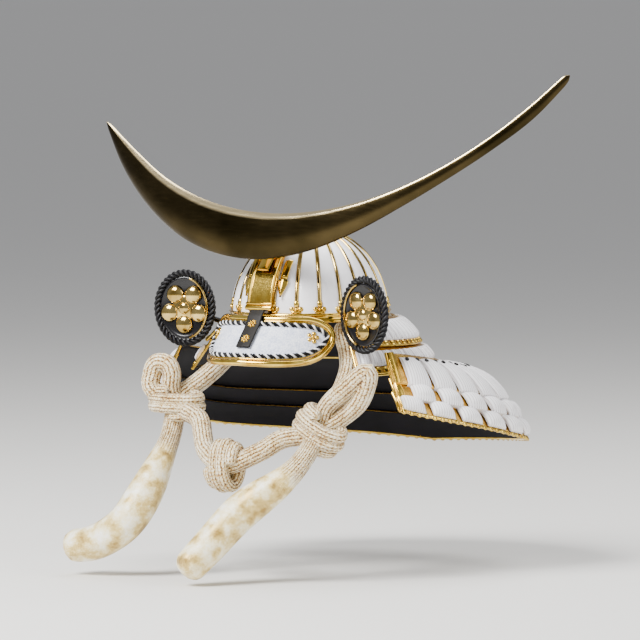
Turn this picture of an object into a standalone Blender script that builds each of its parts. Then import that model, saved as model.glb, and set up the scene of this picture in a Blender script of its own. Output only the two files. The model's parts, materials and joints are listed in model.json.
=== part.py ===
"""Kabuto samurai helmet, a small display helmet with its crescent crest and brocade chin cord.

Lengths are in metres. The wearer looks along -Y, their left hand is at +X and up is +Z. Heights
in this script count from the bowl's base, and an empty then lowers the whole helmet, so that the
origin is the top of the hollow where a head carries it.
"""

import math

import bmesh
import bpy
from mathutils import Matrix, Vector

# Clearances
FIT = 0.0003
LACING_FIT = 0.0009
MERGE = 0.00001

# Bowl
BOWL_HALF_WIDTH = 0.0440
BOWL_HALF_LENGTH = 0.0495
BOWL_HEIGHT = 0.0500
BOWL_WALL = 0.0015
GORES = 22
GORE_PUFF = 0.0013
CROWN_TILT = math.radians(9.0)
RIB_TOP_TILT = math.radians(15.0)
RIB_WIDTH = 0.0017
RIB_DEPTH = 0.0011
RIB_FIT = 0.0007
BAND_TOP = 0.0022
BAND_BOTTOM = -0.0032
BAND_WALL = 0.0014
CROWN_RADIUS = 0.0066
CROWN_HEIGHT = 0.0036
CROWN_HOLE = 0.0018

# Crest holder, the two pointed tongues beside it and the crescent
HOLDER_WIDTH = 0.0165
HOLDER_WALL = 0.0030
HOLDER_BOTTOM = 0.0040
HOLDER_TOP = 0.0350
TONGUE_WIDTH = 0.0052
TONGUE_WALL = 0.0012
TONGUE_TOP = 0.0310
TONGUE_TIP = 0.0110
CREST_REACH = 0.1900
CREST_TOP = 0.1460
CREST_FRONT = 0.0600
CREST_SWEEP = 1.2
CREST_BULGE = 0.0032
CREST_BACK = 0.0014
PRONG_WIDTH = 0.0080
PRONG_WALL = 0.0020
PRONG_BOTTOM = 0.0240
PRONG_BEND = 0.0330
PRONG_SEAT = 0.0420
PRONG_TOP = 0.0520

# Visor
VISOR_HALF_ANGLE = math.radians(48.0)
VISOR_END = math.radians(2.2)
VISOR_FIT = 0.0007
VISOR_REACH = 0.0210
VISOR_DROP = 0.0245
VISOR_ROOT = -0.0012
VISOR_WALL = 0.0016
VISOR_RIM = 0.0017
VISOR_PIPING = 0.0011
STRAP_WIDTH = 0.0096
STRAP_WALL = 0.0012
STRAP_LENGTH = 0.68
ROSETTE = 0.0029
BLOSSOM = 0.0034
STUD_HEIGHT = 0.0012
STUD_FIT = 0.0010

# Turned-back side plates
PLATE_X = 0.0640
PLATE_Y = -0.0383
PLATE_Z = 0.0025
PLATE_HALF_WIDTH = 0.0152
PLATE_HALF_HEIGHT = 0.0185
PLATE_WALL = 0.0030
PLATE_YAW = math.radians(13.0)
BRAID = 0.0021
PETALS = 5
PETAL_RADIUS = 0.0054
PETAL_RING = 0.0098
PETAL_HEIGHT = 0.0022
BRACKET_WIDTH = 0.0060

# Neck guard
LAME_COLUMNS = 24
LAME_SETBACK = math.radians(4.5)
LAME_OVERLAP = 0.0028
LAME_FIT = 0.0008
LAME_WALL = 0.0012
NECK_REACH = 0.0835
NECK_DROP = 0.0850
PAD_WALL = 0.0028
TIE_WALL = 0.0010

# Chin cord
CORD = 0.0116
TAIL_START = 0.0135
TAIL_BELLY = 0.0220
TAIL_END = 0.0180
RING_RADIUS = 0.0048
RING_WIRE = 0.0011
RING_FIT = 0.0015

# The hollow's top, where a head carries the helmet, is the origin
SEAT_HEIGHT = BOWL_HEIGHT - BOWL_WALL

# Visor sections: share of the half angle, of the reach and of the drop
VISOR_SECTIONS = [
    (0.00, 1.00, 1.00),
    (0.35, 0.88, 1.03),
    (0.60, 0.60, 1.02),
    (0.84, 0.30, 0.76),
    (1.00, 0.16, 0.36),
]

# Crescent sections from the wearer's right tip to the left one: lower x, lower z, upper x and
# upper z, the x as shares of CREST_REACH and the z as shares of CREST_TOP
CREST_SECTIONS = [
    (-0.620, 0.766, -0.614, 0.774),
    (-0.531, 0.574, -0.479, 0.652),
    (-0.413, 0.419, -0.351, 0.549),
    (-0.272, 0.306, -0.211, 0.476),
    (-0.117, 0.245, -0.063, 0.433),
    (0.044, 0.235, 0.087, 0.420),
    (0.205, 0.274, 0.237, 0.436),
    (0.360, 0.353, 0.384, 0.479),
    (0.509, 0.456, 0.525, 0.547),
    (0.650, 0.567, 0.658, 0.636),
    (0.782, 0.683, 0.782, 0.743),
    (0.903, 0.809, 0.894, 0.864),
    (1.010, 0.966, 0.998, 0.994),
]

# Neck guard plates. Each has the first column that it covers, the plate that its top edge lies
# on, the side of it (-1 inside, 1 outside) and its sections: share of the way from the front end
# to the back, then how far the top edge stands off that seat, and the reach and drop of its bend
# and of its bottom edge, as shares of NECK_REACH and NECK_DROP
LAMES = {
    "neck_plate_1": (0, "", 0, [
        (0.00, 0.003, 0.028, 0.075, 0.120, 0.150, 0.200),
        (0.54, 0.003, 0.028, 0.100, 0.115, 0.195, 0.212),
        (1.00, 0.003, 0.028, 0.100, 0.115, 0.190, 0.212),
    ]),
    "neck_plate_2": (0, "neck_plate_1", -1, [
        (0.00, 0.000, 0.000, 0.170, 0.285, 0.250, 0.400),
        (0.54, 0.000, 0.000, 0.225, 0.280, 0.310, 0.380),
        (1.00, 0.000, 0.000, 0.215, 0.280, 0.300, 0.380),
    ]),
    "neck_plate_3": (1, "neck_plate_2", 1, [
        (0.00, 0.100, -0.120, 0.400, 0.330, 0.450, 0.435),
        (0.25, 0.060, -0.050, 0.540, 0.405, 0.640, 0.530),
        (0.50, 0.000, 0.000, 0.640, 0.480, 0.790, 0.625),
        (1.00, 0.000, 0.000, 0.680, 0.500, 0.820, 0.680),
    ]),
    "neck_plate_4": (1, "neck_plate_3", -1, [
        (0.00, 0.000, 0.000, 0.455, 0.470, 0.485, 0.525),
        (0.25, 0.000, 0.000, 0.665, 0.575, 0.705, 0.635),
        (0.50, 0.000, 0.000, 0.815, 0.680, 0.870, 0.745),
        (1.00, 0.000, 0.000, 0.850, 0.745, 0.900, 0.830),
    ]),
    "neck_plate_5": (1, "neck_plate_4", -1, [
        (0.00, 0.000, 0.000, 0.500, 0.565, 0.535, 0.625),
        (0.25, 0.000, 0.000, 0.725, 0.690, 0.765, 0.755),
        (0.50, 0.000, 0.000, 0.895, 0.805, 0.945, 0.885),
        (1.00, 0.000, 0.000, 0.930, 0.900, 0.975, 0.990),
    ]),
}

# Knots of the chin cord: centre, half sizes and tilt about Y in degrees
KNOTS = {
    "cord_knot_right": ((-0.0535, -0.0618, -0.0520), (0.0175, 0.0110, 0.0095), 4.0),
    "cord_knot_left": ((0.0500, -0.0640, -0.0640), (0.0160, 0.0110, 0.0110), 32.0),
    "cord_knot_centre": ((0.0000, -0.0880, -0.0850), (0.0100, 0.0100, 0.0145), 0.0),
}

# Routes of the chin cord, chosen by hand. A name as an end is the knot that it meets
ROUTES = {
    "cord_right_strand": [
        (-0.0360, -0.0180, -0.0030),
        (-0.0365, -0.0186, -0.0120),
        (-0.0405, -0.0240, -0.0230),
        (-0.0440, -0.0340, -0.0320),
        (-0.0460, -0.0450, -0.0385),
        "cord_knot_right",
    ],
    "cord_left_strand": [
        (0.0360, -0.0180, -0.0030),
        (0.0366, -0.0186, -0.0120),
        (0.0420, -0.0225, -0.0215),
        (0.0465, -0.0290, -0.0320),
        (0.0480, -0.0410, -0.0455),
        "cord_knot_left",
    ],
    "cord_right_loop": [
        "cord_knot_right",
        (-0.0745, -0.0660, -0.0395),
        (-0.0745, -0.0655, -0.0310),
        (-0.0665, -0.0650, -0.0245),
        (-0.0585, -0.0650, -0.0290),
        (-0.0545, -0.0660, -0.0350),
        "cord_knot_right",
    ],
    "cord_left_loop": [
        "cord_knot_left",
        (0.0625, -0.0620, -0.0480),
        (0.0670, -0.0600, -0.0400),
        (0.0745, -0.0590, -0.0335),
        (0.0820, -0.0590, -0.0380),
        (0.0835, -0.0590, -0.0500),
        (0.0780, -0.0600, -0.0610),
        "cord_knot_left",
    ],
    "cord_right_middle": [
        "cord_knot_right",
        (-0.0320, -0.0695, -0.0605),
        (-0.0250, -0.0755, -0.0695),
        (-0.0170, -0.0825, -0.0785),
        "cord_knot_centre",
    ],
    "cord_left_middle": [
        "cord_knot_centre",
        (0.0210, -0.0830, -0.0765),
        (0.0320, -0.0760, -0.0690),
        "cord_knot_left",
    ],
    "cord_right_tail": [
        "cord_knot_right",
        (-0.0530, -0.0680, -0.0700),
        (-0.0503, -0.0820, -0.0840),
        (-0.0526, -0.0970, -0.1050),
        (-0.0600, -0.1060, -0.1210),
        (-0.0770, -0.1100, -0.1320),
        (-0.0980, -0.1120, -0.1360),
    ],
    "cord_left_tail": [
        "cord_knot_left",
        (0.0490, -0.0800, -0.0800),
        (0.0410, -0.0890, -0.0920),
        (0.0215, -0.1020, -0.1095),
        (0.0110, -0.1170, -0.1270),
        (0.0010, -0.1330, -0.1450),
    ],
}


def clear_scene():
    for old in list(bpy.data.objects):
        bpy.data.objects.remove(old, do_unlink=True)


def paint(name, colour, roughness, metallic=0.0):
    """One material with a Principled BSDF."""
    material = bpy.data.materials.new(name)
    material.use_nodes = True
    shader = material.node_tree.nodes["Principled BSDF"]
    shader.inputs["Base Color"].default_value = (*colour, 1.0)
    shader.inputs["Roughness"].default_value = roughness
    shader.inputs["Metallic"].default_value = metallic
    return material


def gold(name):
    return paint(name + "_gold", (0.83, 0.56, 0.16), 0.25, 1.0)


def white(name):
    return paint(name + "_white", (0.86, 0.85, 0.82), 0.6)


def black(name):
    return paint(name + "_black", (0.012, 0.011, 0.012), 0.35)


def add(name, data, material):
    """Link one sub-part to the helmet's collection and carry it on the seat empty."""
    piece = bpy.data.objects.new(name, data)
    piece.data.materials.clear()
    piece.data.materials.append(material)
    helmet.objects.link(piece)
    piece.parent = seat
    return piece


def mesh_from(form, name):
    mesh = bpy.data.meshes.new(name)
    bmesh.ops.recalc_face_normals(form, faces=form.faces)
    form.to_mesh(mesh)
    form.free()
    mesh.shade_smooth()
    mesh.set_sharp_from_angle(angle=math.radians(35.0))
    return mesh


def sheet(name, columns, rows, place, wall, side, material, wrap=False, keep=None):
    """A shell: a grid, each point set by place(across, up), then given its wall."""
    form = bmesh.new()
    bmesh.ops.create_grid(form, x_segments=columns, y_segments=rows, size=0.5)
    if keep:
        spare = []
        for face in form.faces:
            middle = face.calc_center_median()
            column = int((middle.x + 0.5) * columns)
            row = int((middle.y + 0.5) * rows)
            if not keep(column, row):
                spare.append(face)
        bmesh.ops.delete(form, geom=spare, context="FACES")
    for point in form.verts:
        point.co = place(point.co.x + 0.5, point.co.y + 0.5)
    if wrap:
        bmesh.ops.remove_doubles(form, verts=form.verts, dist=MERGE)
    mesh = bpy.data.meshes.new(name)
    form.to_mesh(mesh)
    form.free()
    mesh.shade_smooth()
    mesh.set_sharp_from_angle(angle=math.radians(35.0))
    piece = add(name, mesh, material)
    solid = piece.modifiers.new("wall", "SOLIDIFY")
    solid.thickness = wall
    solid.offset = side
    solid.use_even_offset = True
    return piece


def loft(name, sections, material):
    """A closed skin through sections that have the same number of points, capped at both ends."""
    form = bmesh.new()
    rings = [[form.verts.new(point) for point in section] for section in sections]
    for ring, following in zip(rings, rings[1:]):
        for index, corner in enumerate(ring):
            after = (index + 1) % len(ring)
            form.faces.new((corner, ring[after], following[after], following[index]))
    form.faces.new(rings[0])
    form.faces.new(rings[-1])
    return add(name, mesh_from(form, name), material)


def tube(name, points, radii, material, closed=False, smoothness=2):
    """A round tube through the points, with a radius at each."""
    curve = bpy.data.curves.new(name, "CURVE")
    curve.dimensions = "3D"
    curve.bevel_depth = 1.0
    curve.bevel_resolution = smoothness
    curve.use_fill_caps = not closed
    line = curve.splines.new("POLY")
    line.points.add(len(points) - 1)
    for spot, point, radius in zip(line.points, points, radii):
        spot.co = (*point, 1.0)
        spot.radius = radius
    line.use_cyclic_u = closed
    return add(name, curve, material)


def smooth_value(table, column, share):
    """Read one column of a table whose first column is the share, with smooth slopes."""
    last = len(table) - 1
    index = 0
    while index < last - 1 and share > table[index + 1][0]:
        index += 1
    before, low, high, after = (table[min(max(index + k, 0), last)] for k in (-1, 0, 1, 2))
    span = high[0] - low[0]
    part = (share - low[0]) / span

    def slope(first, second):
        width = second[0] - first[0]
        return (second[column] - first[column]) / width * span if width else 0.0

    start = slope(before, high)
    end = slope(low, after)
    square = part * part
    cube = square * part
    return ((2 * cube - 3 * square + 1) * low[column] + (cube - 2 * square + part) * start
            + (3 * square - 2 * cube) * high[column] + (cube - square) * end)


def outward(angle):
    """The level direction at an angle from the front, turning towards the wearer's left."""
    return Vector((math.sin(angle), -math.cos(angle), 0.0))


def bowl_edge(angle):
    """Half the bowl's base in that direction."""
    across = math.sin(angle) / BOWL_HALF_WIDTH
    along = math.cos(angle) / BOWL_HALF_LENGTH
    return 1.0 / math.hypot(across, along)


def bowl_point(angle, tilt, lift=0.0):
    """A point over the bowl: tilt is zero at the crown and a right angle at the base."""
    level = outward(angle) * (bowl_edge(angle) + lift) * math.sin(tilt)
    return level + Vector((0.0, 0.0, (BOWL_HEIGHT + lift) * math.cos(tilt)))


def tilt_at(height):
    return math.acos(height / BOWL_HEIGHT)


def build_bowl():
    rows = 5

    def gores(across, up):
        angle = across * math.tau
        tilt = (1.0 - up) * math.pi / 2
        puff = abs(math.cos(GORES * angle / 2)) * math.sin(tilt) * GORE_PUFF
        return bowl_point(angle, tilt, puff)

    sheet("bowl", 2 * GORES, rows, gores, BOWL_WALL, -1.0, white("bowl"), wrap=True)


def build_ribs():
    """Gold ribs between the gores, held by one crown ring."""
    rows = 5
    base_tilt = tilt_at(BAND_TOP + FIT)
    half = RIB_WIDTH / 2

    def place(across, up):
        line = round(across * 2 * GORES)
        row = round(up * rows)
        tilt = base_tilt + (RIB_TOP_TILT - base_tilt) * row / (rows - 1)
        if row == rows:
            tilt = CROWN_TILT
        rib = line // 2
        side = 1.0 if line % 2 else -1.0
        angle = (rib + 0.5) * math.tau / GORES
        turn = half / (bowl_edge(angle) * math.sin(tilt))
        turn = min(turn, math.pi / GORES / 2)
        return bowl_point(angle + side * turn, tilt, RIB_FIT)

    def keep(column, row):
        return column % 2 == 0 or row == rows - 1

    sheet("bowl_ribs", 2 * GORES, rows, place, RIB_DEPTH, 1.0, gold("bowl_ribs"), True, keep)


def build_waist_band():
    def place(across, up):
        angle = across * math.tau
        height = BAND_BOTTOM + (BAND_TOP - BAND_BOTTOM) * up
        out = bowl_edge(angle) + GORE_PUFF + FIT
        return outward(angle) * out + Vector((0.0, 0.0, height))

    sheet("waist_band", 2 * GORES, 1, place, BAND_WALL, 1.0, gold("waist_band"), wrap=True)


def build_crown():
    """A turned rosette with a hole, on the top of the bowl."""
    steps = [(0.0, 0.75), (0.35, 1.0), (0.62, 1.0), (0.70, 0.55), (0.96, 0.40), (1.0, 0.15),
             (0.90, 0.0), (0.0, 0.0)]
    form = bmesh.new()
    corners = []
    for out, up in steps:
        radius = CROWN_HOLE + (CROWN_RADIUS - CROWN_HOLE) * out
        corners.append(form.verts.new((radius, 0.0, CROWN_HEIGHT * up)))
    for corner, after in zip(corners, corners[1:] + corners[:1]):
        form.edges.new((corner, after))
    mesh = bpy.data.meshes.new("crown_rosette")
    form.to_mesh(mesh)
    form.free()
    piece = add("crown_rosette", mesh, gold("crown_rosette"))
    piece.location.z = BOWL_HEIGHT + FIT
    turn = piece.modifiers.new("turn", "SCREW")
    turn.angle = math.tau
    turn.steps = 12
    turn.render_steps = 12
    turn.use_merge_vertices = True
    turn.merge_threshold = MERGE


def holder_lift():
    """How far the holder and the tongues stand off the bowl, to clear the ribs."""
    return RIB_FIT + RIB_DEPTH + GORE_PUFF / 2


def build_holder():
    def place(across, up):
        tilt = tilt_at(HOLDER_BOTTOM + (HOLDER_TOP - HOLDER_BOTTOM) * up)
        point = bowl_point(0.0, tilt, holder_lift())
        point.x = (across - 0.5) * HOLDER_WIDTH
        return point

    sheet("crest_holder", 1, 4, place, HOLDER_WALL, 1.0, gold("crest_holder"))


def build_tongues():
    """Two pointed tongues that lie on the bowl beside the holder."""
    widths = [(0.0, 0.03), (0.22, 0.62), (0.42, 1.0), (0.48, 0.62), (1.0, 0.60)]
    rows = 8
    for name, side in (("front_tongue_right", -1.0), ("front_tongue_left", 1.0)):

        def place(across, up, side=side):
            tilt = tilt_at(TONGUE_TIP + (TONGUE_TOP - TONGUE_TIP) * up)
            half = TONGUE_WIDTH * smooth_value(widths, 1, up) / 2
            x = side * (HOLDER_WIDTH + TONGUE_WIDTH) / 2 + side * FIT + (2 * across - 1) * half
            out = (bowl_edge(math.asin(x / BOWL_HALF_LENGTH)) + holder_lift()) * math.sin(tilt)
            return bowl_point(math.asin(x / out), tilt, holder_lift())

        sheet(name, 1, rows, place, TONGUE_WALL, 1.0, gold(name))


def crest_point(x, z, forward):
    """A point on the crescent's swept face, moved forward of it."""
    slope = 2 * CREST_SWEEP * x
    normal = Vector((slope, -1.0, 0.0)).normalized()
    return Vector((x, CREST_SWEEP * x * x - CREST_FRONT, z)) + normal * forward


def build_crescent():
    last = len(CREST_SECTIONS) - 1
    table = [(index / last, *row) for index, row in enumerate(CREST_SECTIONS)]
    profile = [(0.0, 0.0), (0.14, 0.72), (0.5, 1.0), (0.86, 0.72), (1.0, 0.0)]
    widest = (table[5][4] - table[5][2]) * CREST_TOP
    stations = 28
    sections = []
    for station in range(stations + 1):
        share = station / stations
        low_x, low_z, high_x, high_z = (smooth_value(table, k, share) for k in (1, 2, 3, 4))
        low = Vector((low_x * CREST_REACH, low_z * CREST_TOP))
        high = Vector((high_x * CREST_REACH, high_z * CREST_TOP))
        full = min(1.0, math.sqrt((high - low).length / widest))
        section = []
        for part, bulge in profile:
            spot = low.lerp(high, part)
            section.append(crest_point(spot.x, spot.y, bulge * CREST_BULGE * full))
        for part in (0.86, 0.14):
            spot = low.lerp(high, part)
            section.append(crest_point(spot.x, spot.y, -CREST_BACK * full))
        sections.append(section)
    loft("crescent_crest", sections, paint("crescent_bronze", (0.30, 0.21, 0.10), 0.12, 1.0))


def build_prong():
    """A flat prong, bent from the holder's face to the crescent's back."""
    half = PRONG_WALL / 2
    lift = holder_lift() + HOLDER_WALL + FIT + half + BOWL_WALL / 4
    low = bowl_point(0.0, tilt_at(PRONG_BOTTOM), lift)
    bend = bowl_point(0.0, tilt_at(PRONG_BEND), lift)
    back = -CREST_FRONT + CREST_BACK + FIT + half
    path = [low, bend, Vector((0.0, back, PRONG_SEAT)), Vector((0.0, back, PRONG_TOP))]
    sections = []
    for index, spot in enumerate(path):
        ahead = path[min(index + 1, 3)] - path[max(index - 1, 0)]
        across = Vector((0.0, -ahead.z, ahead.y)).normalized() * half
        corners = [(-1, 1), (1, 1), (1, -1), (-1, -1)]
        sections.append([spot + across * face + Vector((side * PRONG_WIDTH / 2, 0.0, 0.0))
                         for side, face in corners])
    loft("crest_prong", sections, gold("crest_prong"))


def band_out():
    """How far the waist band's outer face stands off the bowl's base."""
    return GORE_PUFF + FIT + BAND_WALL


def visor_point(angle, share, lift=0.0):
    """A point on the visor's middle face: share runs from the root to the rim."""
    part = min(abs(angle) / VISOR_HALF_ANGLE, 1.0)
    reach = VISOR_REACH * smooth_value(VISOR_SECTIONS, 1, part)
    drop = VISOR_DROP * smooth_value(VISOR_SECTIONS, 2, part)
    length = math.hypot(reach, drop)
    root = bowl_edge(angle) + band_out() + FIT + VISOR_RIM
    level = root + reach * share + lift * drop / length
    height = VISOR_ROOT - drop * share + lift * reach / length
    return outward(angle) * level + Vector((0.0, 0.0, height))


def visor_edge(angle, share, inset):
    """The share of the visor's slope that keeps a line clear of its edge by an inset."""
    nudge = math.radians(0.5)
    along = visor_point(angle + nudge, share) - visor_point(angle - nudge, share)
    slope = visor_point(angle, 1.0) - visor_point(angle, 0.0)
    square = along.normalized().cross(slope.normalized()).length
    return min(inset / (slope.length * square), 0.45)


def visor_loop(inset, lift, bulge, along, ends):
    """Points of a line round the visor, inset from its edge."""
    half = VISOR_HALF_ANGLE - inset / bowl_edge(VISOR_HALF_ANGLE)
    points = []
    for side in (1.0, -1.0):
        for step in range(along + 1):
            angle = side * half * (2 * step / along - 1)
            edge = float(side > 0)
            share = visor_edge(angle, edge, inset)
            points.append(visor_point(angle, abs(edge - share), lift))
        low = visor_edge(side * half, 0.0, inset)
        high = 1.0 - visor_edge(side * half, 1.0, inset)
        for step in range(1, ends):
            part = step / ends
            angle = side * (half + bulge * math.sin(math.pi * part))
            down = 1.0 - part if side > 0 else part
            points.append(visor_point(angle, low + (high - low) * down, lift))
    return points


def build_visor():
    inset = VISOR_RIM + VISOR_FIT
    half = VISOR_HALF_ANGLE - inset / bowl_edge(VISOR_HALF_ANGLE)

    def place(across, up):
        angle = half * (2 * across - 1)
        low = visor_edge(angle, 0.0, inset)
        high = 1.0 - visor_edge(angle, 1.0, inset)
        return visor_point(angle, high + (low - high) * up)

    sheet("visor", 14, 3, place, VISOR_WALL, 0.0, white("visor"))
    rim = visor_loop(0.0, 0.0, VISOR_END, 14, 4)
    tube("visor_rim", rim, [VISOR_RIM] * len(rim), gold("visor_rim"), closed=True, smoothness=1)


def build_visor_piping():
    """The twisted border cord: it starts and ends at the sides of the middle strap."""
    inset = 2 * VISOR_RIM + VISOR_PIPING + FIT
    lift = VISOR_WALL / 2 + LACING_FIT + VISOR_PIPING
    loop = visor_loop(inset, lift, 0.0, 14, 2)
    root_middle = len(loop) * 3 // 4
    route = loop[root_middle:] + loop[:root_middle]
    clear = STRAP_WIDTH / 2 + FIT + VISOR_PIPING

    def under_strap(point):
        return abs(point.x) < clear and point.z > VISOR_ROOT - VISOR_DROP / 2

    route = [point for point in route if not under_strap(point)]
    start = max(range(len(route)), key=lambda k: (route[k] - route[k - 1]).length)
    route = route[start:] + route[:start]
    tube("visor_piping", route, [VISOR_PIPING] * len(route), white("visor_piping"), smoothness=0)


def build_strap():
    lift = VISOR_WALL / 2 + LACING_FIT

    def place(across, up):
        x = (across - 0.5) * STRAP_WIDTH
        share = STRAP_LENGTH + (visor_edge(0.0, 0.0, VISOR_RIM * 2) - STRAP_LENGTH) * up
        level = visor_point(0.0, share)
        return visor_point(math.atan2(x, -level.y), share, lift)

    sheet("visor_strap", 2, 3, place, STRAP_WALL, 1.0, black("visor_strap"))


def stud(name, angle, share, lift, radius):
    """A round flat-topped stud on the visor."""
    form = bmesh.new()
    bmesh.ops.create_cone(form, cap_ends=True, segments=10, radius1=radius, radius2=radius * 0.7,
                          depth=STUD_HEIGHT)
    piece = add(name, mesh_from(form, name), gold(name))
    low = visor_point(angle, share, lift)
    normal = (visor_point(angle, share, lift + VISOR_REACH) - low).normalized()
    piece.location = low + normal * STUD_HEIGHT / 2
    piece.rotation_euler = normal.to_track_quat("Z", "Y").to_euler()


def build_studs():
    on_strap = VISOR_WALL / 2 + LACING_FIT + STRAP_WALL + LACING_FIT
    on_visor = VISOR_WALL / 2 + STUD_FIT
    stud("strap_rosette_upper", 0.0, 0.20, on_strap, ROSETTE)
    stud("strap_rosette_lower", 0.0, 0.52, on_strap, ROSETTE)
    stud("visor_blossom_right", -VISOR_HALF_ANGLE * 0.74, 0.45, on_visor, BLOSSOM)
    stud("visor_blossom_left", VISOR_HALF_ANGLE * 0.74, 0.45, on_visor, BLOSSOM)


def plate_frame(side):
    """Place of a side plate: its own Z is its face's normal and its own Y is up."""
    normal = Vector((-side * math.sin(PLATE_YAW), -math.cos(PLATE_YAW), 0.0))
    up = Vector((0.0, 0.0, 1.0))
    across = up.cross(normal)
    turn = Matrix((across, up, normal)).transposed().to_4x4()
    return Matrix.Translation((side * PLATE_X, PLATE_Y, PLATE_Z)) @ turn


def build_plate(side, word):
    frame = plate_frame(side)
    form = bmesh.new()
    bmesh.ops.create_cone(form, cap_ends=True, segments=28, radius1=PLATE_HALF_WIDTH,
                          radius2=PLATE_HALF_WIDTH, depth=PLATE_WALL)
    bmesh.ops.scale(form, verts=form.verts, vec=(1.0, PLATE_HALF_HEIGHT / PLATE_HALF_WIDTH, 1.0))
    name = "turnback_plate_" + word
    plate = add(name, mesh_from(form, name), black(name))
    plate.matrix_local = frame

    turns = 24
    points = []
    for step in range(turns):
        angle = step * math.tau / turns
        reach = BRAID + FIT
        spot = Vector(((PLATE_HALF_WIDTH + reach) * math.cos(angle),
                       (PLATE_HALF_HEIGHT + reach) * math.sin(angle), 0.0))
        points.append(frame @ spot)
    name = "turnback_braid_" + word
    tube(name, points, [BRAID] * turns, black(name), closed=True, smoothness=1)
    build_plum_crest(frame, "turnback_crest_" + word)


def build_plum_crest(frame, name):
    """A plum blossom of round discs on a thin backing, joined into one solid."""
    discs = [(0.0, 0.0, PETAL_RING * 0.9, 0.5)]
    discs.append((0.0, 0.0, PETAL_RADIUS * 0.8, 1.0))
    for petal in range(PETALS):
        angle = math.radians(-90.0) + petal * math.tau / PETALS
        discs.append((PETAL_RING * math.cos(angle), PETAL_RING * math.sin(angle), PETAL_RADIUS, 1.0))
    base = None
    for index, (x, y, radius, share) in enumerate(discs):
        form = bmesh.new()
        depth = PETAL_HEIGHT * share
        bmesh.ops.create_cone(form, cap_ends=True, segments=10, radius1=radius,
                              radius2=radius * (1.0 - 0.35 * share), depth=depth)
        place = Vector((x, y, PLATE_WALL / 2 + LACING_FIT + depth / 2))
        bmesh.ops.translate(form, verts=form.verts, vec=place)
        if base is None:
            base = add(name, mesh_from(form, name), gold(name))
            base.matrix_local = frame
            continue
        cutter = bpy.data.objects.new(name + "_disc_" + str(index), mesh_from(form, name + "_disc"))
        helpers.objects.link(cutter)
        cutter.parent = seat
        cutter.matrix_local = frame
        cutter.hide_render = True
        cutter.display_type = "WIRE"
        join = base.modifiers.new("disc", "BOOLEAN")
        join.operation = "UNION"
        join.solver = "EXACT"
        join.object = cutter


def lame_start():
    """Angle of the first plates' front ends, just behind the visor's ends."""
    clear = (VISOR_RIM + LAME_FIT) / bowl_edge(VISOR_HALF_ANGLE)
    return VISOR_HALF_ANGLE + VISOR_END + clear + LAME_SETBACK


def lame_angle(column):
    """Angle of a column, counted from the front end on the wearer's left."""
    step = (math.tau - 2 * lame_start()) / LAME_COLUMNS
    return lame_start() + column * step


def lame_columns(first):
    """How many columns a plate covers, the same on both sides of the back."""
    return LAME_COLUMNS - 2 * first


def lame_section(name, column):
    """Reach and drop of a plate's top, bend and bottom at a whole column."""
    first, above, side, table = LAMES[name]
    angle = lame_angle(column)
    part = 1.0 - abs(angle - math.pi) / (math.pi - lame_angle(first))
    part = min(max(part, 0.0), 1.0)
    values = [smooth_value(table, k, part) for k in range(1, 7)]
    top, bend, bottom = (Vector((values[k] * NECK_REACH, values[k + 1] * NECK_DROP))
                         for k in (0, 2, 4))
    if above:
        _, over_bend, over_bottom = lame_section(above, column)
        down = (over_bottom - over_bend).normalized()
        out = Vector((down.y, -down.x))
        top += over_bottom - down * LAME_OVERLAP + out * side * (LAME_WALL + LAME_FIT)
    return top, bend, bottom


def lame_corner(name, column, share):
    """A point of a plate's inner face at a whole column."""
    top, bend, bottom = lame_section(name, column)
    spot = top.lerp(bend, share * 2) if share <= 0.5 else bend.lerp(bottom, share * 2 - 1)
    angle = lame_angle(column)
    out = bowl_edge(angle) + band_out() + FIT + spot.x
    return outward(angle) * out - Vector((0.0, 0.0, spot.y))


def lame_point(name, column, share, lift):
    """A point over a plate's flat faces, share from its top to its bottom."""
    low = math.floor(column + 1e-6)
    part = column - low
    if part < 1e-6:
        pair = (low, low)
    else:
        pair = (low, low + 1)

    def across(level):
        return lame_corner(name, pair[0], level).lerp(lame_corner(name, pair[1], level), part)

    spot = across(share)
    down = across(min(share + 0.02, 1.0)) - across(max(share - 0.02, 0.0))
    side = outward(lame_angle(column) + math.pi / 2)
    return spot + down.cross(side).normalized() * lift


def build_lame(name, rows):
    first = LAMES[name][0]
    columns = lame_columns(first)

    def place(across, up):
        return lame_corner(name, first + round(across * columns), 1.0 - up)

    sheet(name, columns, rows, place, LAME_WALL, 1.0, gold(name))


def lacing_section(name, column, wall, shares):
    """A lacing's section over a plate, through the given shares of the way down."""
    low = LAME_WALL + LACING_FIT
    inner = [lame_point(name, column, share, low) for share in shares]
    outer = [lame_point(name, column, share, low + wall) for share in reversed(shares)]
    return inner + outer


def build_full_lacing(name, lame, start, top, bottom):
    """Lacing that covers a plate all along."""
    first = LAMES[lame][0]
    columns = lame_columns(first)
    sections = []
    spots = [first + start]
    spots += [spot for spot in range(first, first + columns + 1)
              if first + start < spot < first + columns - start]
    spots.append(first + columns - start)
    for spot in spots:
        sections.append(lacing_section(lame, spot, PAD_WALL, (top, 0.5, bottom)))
    loft(name, sections, white(name))


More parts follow.
